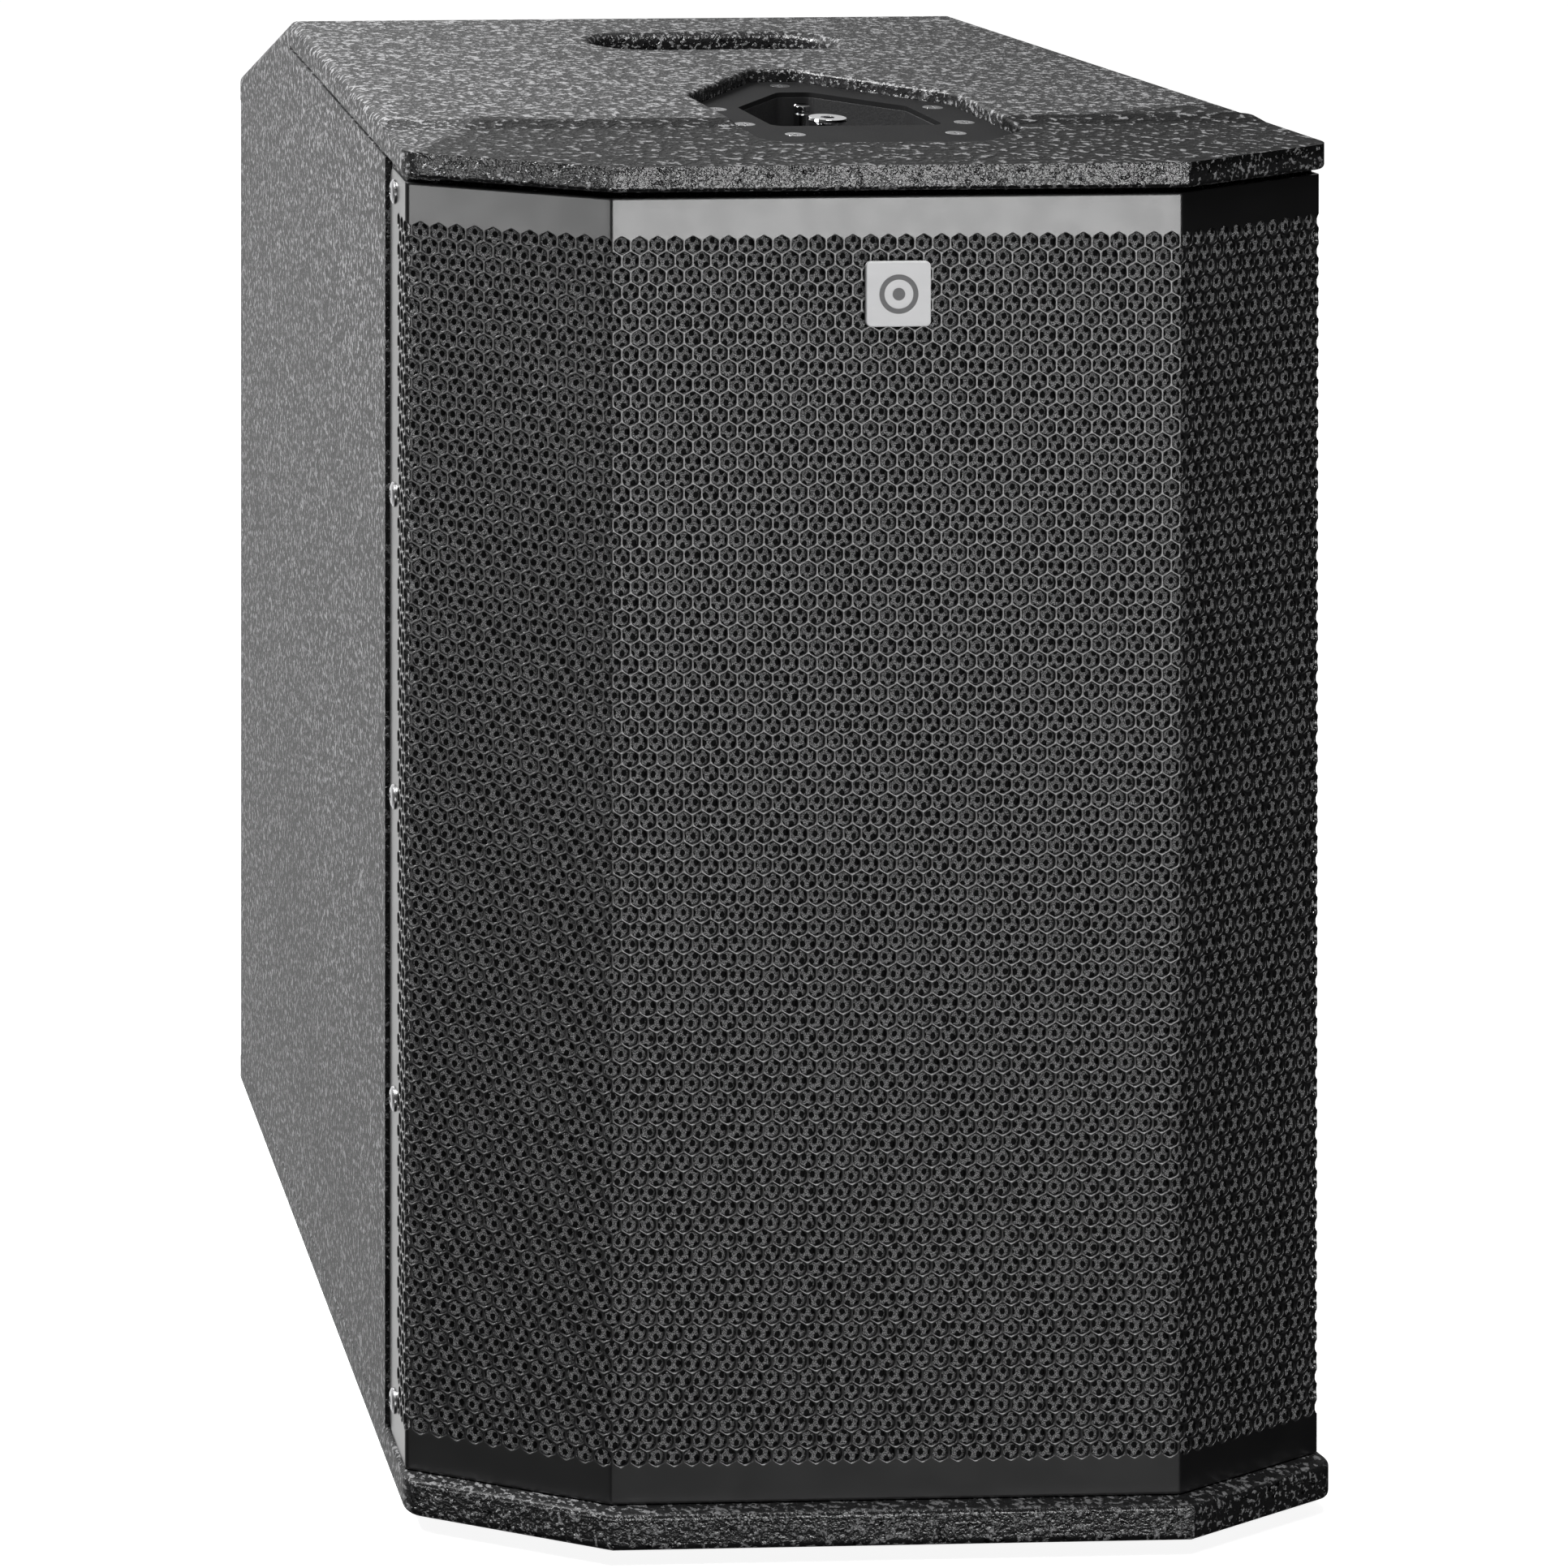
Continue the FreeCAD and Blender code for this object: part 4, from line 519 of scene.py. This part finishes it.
def make_materials():
    return {
        "textured_paint": textured_paint(),
        "bare_plywood": plywood(),
        "grille_steel": powder_coat("grille_coat", (0.007, 0.007, 0.0073), 0.29, shine=1.0, depth=0.012 * MM),
        "panel_steel": powder_coat("panel_coat", (0.016, 0.016, 0.017), 0.5, 0.5 * MM),
        "dock_coat": moulding("dock_coat", (0.007, 0.007, 0.0073), 0.62, 0.45 * MM, 0.08 * MM, 0.10),
        "screw_steel": bright_metal("plated_screw", (0.62, 0.62, 0.63), 0.3),
        "black_screw": bright_metal("black_screw", (0.05, 0.05, 0.052), 0.4),
        "chrome": bright_metal("chrome", (0.86, 0.86, 0.87), 0.06, depth=0.002 * MM),
        "zinc_steel": bright_metal("zinc_plate", (0.56, 0.57, 0.58), 0.36, (1, 1, 0.2)),
        "fabric": spacer_mesh(),
        "felt": cloth("grey_felt", (0.20, 0.19, 0.18), 1.6 * MM, 0.5 * MM),
        "silver_badge": badge_silver(),
        "moulded_plastic": moulding("moulded_black", (0.014, 0.014, 0.0145), 0.45, 0.8 * MM, 0.10 * MM),
        "port_plastic": moulding("port_black", (0.012, 0.012, 0.012), 0.35),
        "knob_plastic": moulding("knob_black", (0.018, 0.018, 0.019), 0.42, 0.4 * MM, 0.03 * MM),
        "button_plastic": moulding("button_grey", (0.52, 0.52, 0.53), 0.35, 0.4 * MM, 0.02 * MM),
        "red_tab": moulding("red_tab", (0.42, 0.03, 0.02), 0.35, 0.4 * MM, 0.02 * MM),
        "led_lens": lamp_lens(),
        "rubber": moulding("black_rubber", (0.012, 0.012, 0.012), 0.7, 0.7 * MM, 0.08 * MM),
        "paper_cone": paper_cone(),
        "ferrite": moulding("ferrite", (0.05, 0.05, 0.053), 0.6, 0.5 * MM, 0.10 * MM),
        "copper_coil": winding(),
        "spider_cloth": cloth("spider_cloth", (0.48, 0.30, 0.12), 0.8 * MM, 0.15 * MM, 1.3),
        "circuit_board": circuit_board(),
        "heatsink": bright_metal("anodised_black", (0.055, 0.055, 0.057), 0.42, (1, 1, 0.1)),
        "cable_jacket": moulding("cable_jacket", (0.014, 0.014, 0.014), 0.5, 1.0 * MM, 0.03 * MM),
        "gold_contact": bright_metal("gold_contact", (0.80, 0.60, 0.24), 0.25),
    }


def dress_nodes(materials):
    """Give every carried-over CAD node the material of its slot."""
    own = {"dock_plate": "dock_coat"}
    for part in frame["record"]["subparts"]:
        node = NODES[part["node"]]
        material = materials[own.get(part["node"], part["material_slot"])]
        for slot in node.material_slots:
            slot.material = material


# ---- mesh kit ---------------------------------------------------------------------------------
def new_piece(name, points, faces, material, body=BODY, sharp=60):
    mesh = bpy.data.meshes.new(name)
    mesh.from_pydata(points, [], faces)
    mesh.materials.append(material)
    mesh.shade_smooth()
    mesh.set_sharp_from_angle(angle=math.radians(sharp))
    piece = bpy.data.objects.new(name, mesh)
    bpy.context.scene.collection.objects.link(piece)
    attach(piece, body)
    return piece


# ---- grille: flat pattern -----------------------------------------------------------------------
# The sheet is drawn flat in (u, z, depth), u along its front from the middle, and then folded.
CELL_R = HEX_PITCH / math.sqrt(3)      # pointed cells, centre to corner
ROW_PITCH = 1.5 * CELL_R


def folded_lengths():
    """Straight runs between the bends, measured on the sheet's outer face."""
    low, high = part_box("front_grille")
    tan = math.tan
    half_front = abs(NODE_BEND_X)
    corner_x = high.x
    facet = (corner_x - half_front) / math.cos(FRONT_TURN)
    front = half_front - FRONT_BEND_R * tan(FRONT_TURN / 2)
    facet -= FRONT_BEND_R * tan(FRONT_TURN / 2) + CORNER_BEND_R * tan(FLANGE_TURN / 2)
    corner_y = low.y + (corner_x - half_front) * tan(FRONT_TURN)
    flange = (high.y - corner_y) / math.sin(FRONT_TURN + FLANGE_TURN) - CORNER_BEND_R * tan(FLANGE_TURN / 2)
    return front, facet, flange


def front_bend_x():
    """Half width of the grille's flat front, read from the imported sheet."""
    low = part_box("front_grille")[0]
    across = [v.co.x for v in NODES["front_grille"].data.vertices if v.co.y < low.y + 0.01 * MM]
    return max(across)


NODE_BEND_X = front_bend_x()
FRONT_RUN, FACET_RUN, FLANGE_RUN = folded_lengths()
FRONT_ARC = FRONT_BEND_R * FRONT_TURN
CORNER_ARC = CORNER_BEND_R * FLANGE_TURN
HALF_SHEET = FRONT_RUN + FRONT_ARC + FACET_RUN + CORNER_ARC + FLANGE_RUN
SHEET_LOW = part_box("front_grille")[0].z
SHEET_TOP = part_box("front_grille")[1].z
GRILLE_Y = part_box("front_grille")[0].y


def fold(points):
    """Bend flat (u, z, depth) points round the cabinet's front."""
    side = np.where(points[:, 0] < 0, -1.0, 1.0)
    s = np.abs(points[:, 0])
    depth = points[:, 2]
    x = np.zeros(len(s))
    y = np.zeros(len(s))
    at = np.array([0.0, GRILLE_Y])
    heading, done = 0.0, 0.0
    runs = [(FRONT_RUN, 0, 0), (FRONT_ARC, FRONT_TURN, FRONT_BEND_R), (FACET_RUN, 0, 0),
            (CORNER_ARC, FLANGE_TURN, CORNER_BEND_R), (FLANGE_RUN + 1, 0, 0)]
    for length, turn, radius in runs:
        here = (s >= done) & (s <= done + length) if done == 0 else (s > done) & (s <= done + length)
        t = s[here] - done
        if turn:
            angle = heading + t / radius
            centre = at + radius * np.array([-math.sin(heading), math.cos(heading)])
            x[here] = centre[0] + (radius - depth[here]) * np.sin(angle)
            y[here] = centre[1] - (radius - depth[here]) * np.cos(angle)
            heading += turn
            at = centre + radius * np.array([math.sin(heading), -math.cos(heading)])
        else:
            x[here] = at[0] + t * math.cos(heading) - depth[here] * math.sin(heading)
            y[here] = at[1] + t * math.sin(heading) + depth[here] * math.cos(heading)
            at = at + length * np.array([math.cos(heading), math.sin(heading)])
        done += length
    return np.column_stack([x * side, y, points[:, 1]])


def hexagon(flats, cut):
    """Twelve points of a pointed hexagon whose corners are cut back; two beside each corner."""
    radius = flats / math.sqrt(3)
    turns = [math.radians(90 + 60 * k) for k in range(6)]
    corners = [Vector((radius * math.cos(turn), radius * math.sin(turn))) for turn in turns]
    points = []
    for k, corner in enumerate(corners):
        for other in (corners[k - 1], corners[(k + 1) % 6]):
            points.append(corner + (other - corner).normalized() * cut)
    return points


def cell_template():
    """Points and faces of one cell: front ring, rounded hole edge, wall and back ring."""
    outline = hexagon(HEX_PITCH, 0.0)[::2]
    points = [(p.x, p.y, 0.0) for p in outline]
    for grow, depth in EDGE_RINGS:
        points += [(p.x, p.y, depth) for p in hexagon(HEX_FLATS + 2 * grow, HEX_CORNER)]
    points += [(p.x, p.y, SHEET_T) for p in outline]
    faces = []
    last = 6 + 12 * len(EDGE_RINGS)
    back_ring = last - 12
    for k in range(6):
        after = (k + 1) % 6
        near, far = 6 + 2 * k + 1, 6 + 2 * after
        faces.append((k, near, near - 1))
        faces.append((k, after, far, near))
        near, far = back_ring + 2 * k + 1, back_ring + 2 * after
        faces.append((last + k, near - 1, near))
        faces.append((last + k, near, far, last + after))
    for ring in range(len(EDGE_RINGS) - 1):
        start = 6 + 12 * ring
        for j in range(12):
            after = (j + 1) % 12
            faces.append((start + j, start + after, start + 12 + after, start + 12 + j))
    return np.array(points), faces


def cell_centres():
    centres = []
    for row in range(HOLE_ROWS):
        z = SHEET_TOP - TOP_BORDER - row * ROW_PITCH
        if row % 2 == 0:
            columns = [k + 0.5 for k in range(-HOLE_COLUMNS, HOLE_COLUMNS)]
        else:
            columns = range(-HOLE_COLUMNS + 1, HOLE_COLUMNS)
        centres += [(c * HEX_PITCH, z) for c in columns]
    return centres


def field_corners():
    """The zigzag round the perforated field as four runs: top, right, bottom and left, clockwise."""
    half = HEX_PITCH / 2
    z_top = SHEET_TOP - TOP_BORDER
    z_low = z_top - (HOLE_ROWS - 1) * ROW_PITCH
    columns = [(k + 0.5) * HEX_PITCH for k in range(-HOLE_COLUMNS, HOLE_COLUMNS)]
    top = [(columns[0] - half, z_top + CELL_R / 2)]
    for u in columns:
        top += [(u, z_top + CELL_R), (u + half, z_top + CELL_R / 2)]
    right = [top[-1]]
    for row in range(0, HOLE_ROWS, 2):
        z = z_top - row * ROW_PITCH
        right.append((columns[-1] + half, z - CELL_R / 2))
        if row < HOLE_ROWS - 1:
            z_after = z - 2 * ROW_PITCH
            right += [(columns[-1], z - CELL_R), (columns[-1], z_after + CELL_R),
                      (columns[-1] + half, z_after + CELL_R / 2)]
    middle = z_top + z_low
    bottom = [(-u, middle - z) for u, z in top]
    left = [(-u, middle - z) for u, z in right]
    return top, right, bottom, left


def border_faces():
    """Solid border between the zigzag and the sheet's edge, with a rounded outer edge, front and back."""
    points, faces = [], []

    def add(point):
        points.append(point)
        return len(points) - 1

    def outline_point(place, normal):
        """One point of the sheet's edge: its rings from the front face round to the back."""
        rings = []
        for grow, depth in BORDER_RINGS:
            rings.append(add((place[0] - normal[0] * grow, place[1] - normal[1] * grow, depth)))
        return rings

    def band(a, b):
        """The sheet's edge between two neighbouring outline points, clockwise."""
        for k in range(len(BORDER_RINGS) - 1):
            faces.append((a[k], b[k], b[k + 1], a[k + 1]))

    sides = field_corners()
    spots = [((0, 1), SHEET_TOP), ((1, 0), HALF_SHEET), ((0, -1), SHEET_LOW), ((-1, 0), -HALF_SHEET)]
    first_ring, last_ring = None, None
    for index, (run, (normal, edge)) in enumerate(zip(sides, spots)):
        flat = [(u, edge) if normal[1] else (edge, z) for u, z in run]
        inner = [(add((u, z, 0.0)), add((u, z, SHEET_T))) for u, z in run]
        outer = [outline_point(p, normal) for p in flat]
        for k in range(len(run) - 1):
            a, b, c, d = inner[k], inner[k + 1], outer[k + 1], outer[k]
            faces.append((a[0], b[0], c[0], d[0]))
            faces.append((a[1], d[-1], c[-1], b[1]))
            band(d, c)
        if last_ring is not None:
            corner_patch(add, faces, outline_point, band, inner[0], last_ring, outer[0], index)
        first_ring = first_ring or (inner[0], outer[0])
        last_ring = outer[-1]
    corner_patch(add, faces, outline_point, band, first_ring[0], last_ring, first_ring[1], 0)
    return np.array(points), faces


def corner_patch(add, faces, outline_point, band, inner, before, after, index):
    """A corner of the sheet, rounded, between the ends of two runs of border."""
    turn = {1: (1, 1), 2: (1, -1), 3: (-1, -1), 0: (-1, 1)}[index]
    centre = (turn[0] * (HALF_SHEET - FLANGE_CORNER_R),
              (SHEET_TOP - FLANGE_CORNER_R) if turn[1] > 0 else (SHEET_LOW + FLANGE_CORNER_R))
    start = {1: 90, 2: 0, 3: -90, 0: 180}[index]
    rounds = []
    for k in range(ARC_STEPS + 1):
        a = math.radians(start - 90 * k / ARC_STEPS)
        normal = (math.cos(a), math.sin(a))
        rounds.append(outline_point((centre[0] + FLANGE_CORNER_R * normal[0],
                                     centre[1] + FLANGE_CORNER_R * normal[1]), normal))
    loop = [before] + rounds + [after]
    faces.append((inner[0],) + tuple(r[0] for r in reversed(loop)))
    faces.append((inner[1],) + tuple(r[-1] for r in loop))
    for a, b in zip(loop, loop[1:]):
        band(a, b)


def weld(points, faces):
    """Merge points that coincide to a micrometre, and drop faces that collapse."""
    keys = np.round(points / (0.001 * MM)).astype(np.int64)
    _, first, index = np.unique(keys, axis=0, return_index=True, return_inverse=True)
    index = index.ravel()
    kept = []
    for face in faces:
        mapped = [int(index[k]) for k in face]
        mapped = [k for j, k in enumerate(mapped) if k != mapped[j - 1]]
        if len(mapped) > 2:
            kept.append(mapped)
    return points[first], kept


def bend_lines():
    """Where the flat sheet needs points so that its bends come out round."""
    first = FRONT_RUN
    second = FRONT_RUN + FRONT_ARC + FACET_RUN
    lines = [first + FRONT_ARC * k / ARC_STEPS for k in range(ARC_STEPS + 1)]
    return lines + [second + CORNER_ARC * k / ARC_STEPS for k in range(ARC_STEPS + 1)]


def cut_at_bends(points, faces):
    """Split the faces along every bend line."""
    mesh = bpy.data.meshes.new("flat_pattern")
    mesh.from_pydata(points.tolist(), [], faces)
    work = bmesh.new()
    work.from_mesh(mesh)
    for line in bend_lines():
        for u in (-line, line):
            near = [f for f in work.faces if abs(f.verts[0].co.x - u) < 2 * HEX_PITCH or len(f.verts) > 4]
            if not near:
                continue
            parts = set(near)
            for face in near:
                parts.update(face.edges)
                parts.update(face.verts)
            bmesh.ops.bisect_plane(work, geom=list(parts), dist=0.002 * MM,
                                   plane_co=(u, 0, 0), plane_no=(1, 0, 0))
    work.to_mesh(mesh)
    work.free()
    return mesh


def make_grille(material):
    """The bent perforated sheet, in four sections that meet on the lines between holes."""
    template, pattern = cell_template()
    edge_points, edge_faces = border_faces()
    split = FRONT_RUN + FRONT_ARC + 1.6 * HEX_PITCH
    sections = {"grille_left": (-1.0, -split), "grille_front_left": (-split, 0.0),
                "grille_front_right": (0.0, split), "grille_right": (split, 1.0)}
    made = []
    for name, (low, high) in sections.items():
        centres = np.array([c for c in cell_centres() if low < c[0] <= high])
        offsets = np.column_stack([centres, np.zeros(len(centres))])
        points = (template[None, :, :] + offsets[:, None, :]).reshape(-1, 3)
        starts = [cell * len(template) for cell in range(len(centres))]
        faces = [tuple(k + start for k in face) for start in starts for face in pattern]
        middle = [np.mean(edge_points[list(face), 0]) for face in edge_faces]
        border = [face for face, u in zip(edge_faces, middle) if low < u <= high]
        faces += [tuple(k + len(points) for k in face) for face in border]
        points, faces = weld(np.vstack([points, edge_points]), faces)
        mesh = cut_at_bends(points, faces)
        flat = np.zeros(len(mesh.vertices) * 3)
        mesh.vertices.foreach_get("co", flat)
        mesh.vertices.foreach_set("co", fold(flat.reshape(-1, 3)).ravel())
        mesh.name = name
        mesh.materials.append(material)
        mesh.shade_smooth()
        mesh.set_sharp_from_angle(angle=math.radians(62))
        piece = bpy.data.objects.new(name, mesh)
        bpy.context.scene.collection.objects.link(piece)
        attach(piece, BODY)
        made.append(piece)
    for piece in made:
        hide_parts("front_grille")


# ---- fabric behind the grille ---------------------------------------------------------------------
def make_fabric(material):
    """Spacer mesh stretched over the inside of the grille, pressed lightly into its holes."""
    low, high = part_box("grille_fabric")
    step = 4 * MM
    reach = FRONT_RUN + FRONT_ARC + FACET_RUN + CORNER_ARC + FABRIC_TURN_IN
    columns = int(2 * reach / step)
    rows = int((high.z - low.z) / step)
    points, faces, flat = [], [], []
    for i in range(columns + 1):
        u = -reach + 2 * reach * i / columns
        for j in range(rows + 1):
            z = low.z + (high.z - low.z) * j / rows
            sag = 0.12 * MM * (math.sin(u * 61) * math.sin(z * 47) + 1)
            flat.append((u, z, SHEET_T + 0.15 * MM + sag))
    points = fold(np.array(flat))
    for i in range(columns):
        for j in range(rows):
            a = i * (rows + 1) + j
            faces.append((a, a + rows + 1, a + rows + 2, a + 1))
    piece = new_piece("spacer_mesh_sheet", points.tolist(), faces, material)
    layer = piece.data.uv_layers.new(name="flat_pattern")
    for loop in piece.data.loops:
        u, z, _ = flat[loop.vertex_index]
        layer.data[loop.index].uv = (u, z)
    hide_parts("grille_fabric")


# ---- build everything -------------------------------------------------------------------------
bpy.context.scene.view_settings.view_transform = "Standard"
make_camera()
make_world()
make_lights()
make_floor()
materials = make_materials()
dress_nodes(materials)
make_grille(materials["grille_steel"])
make_fabric(materials["fabric"])
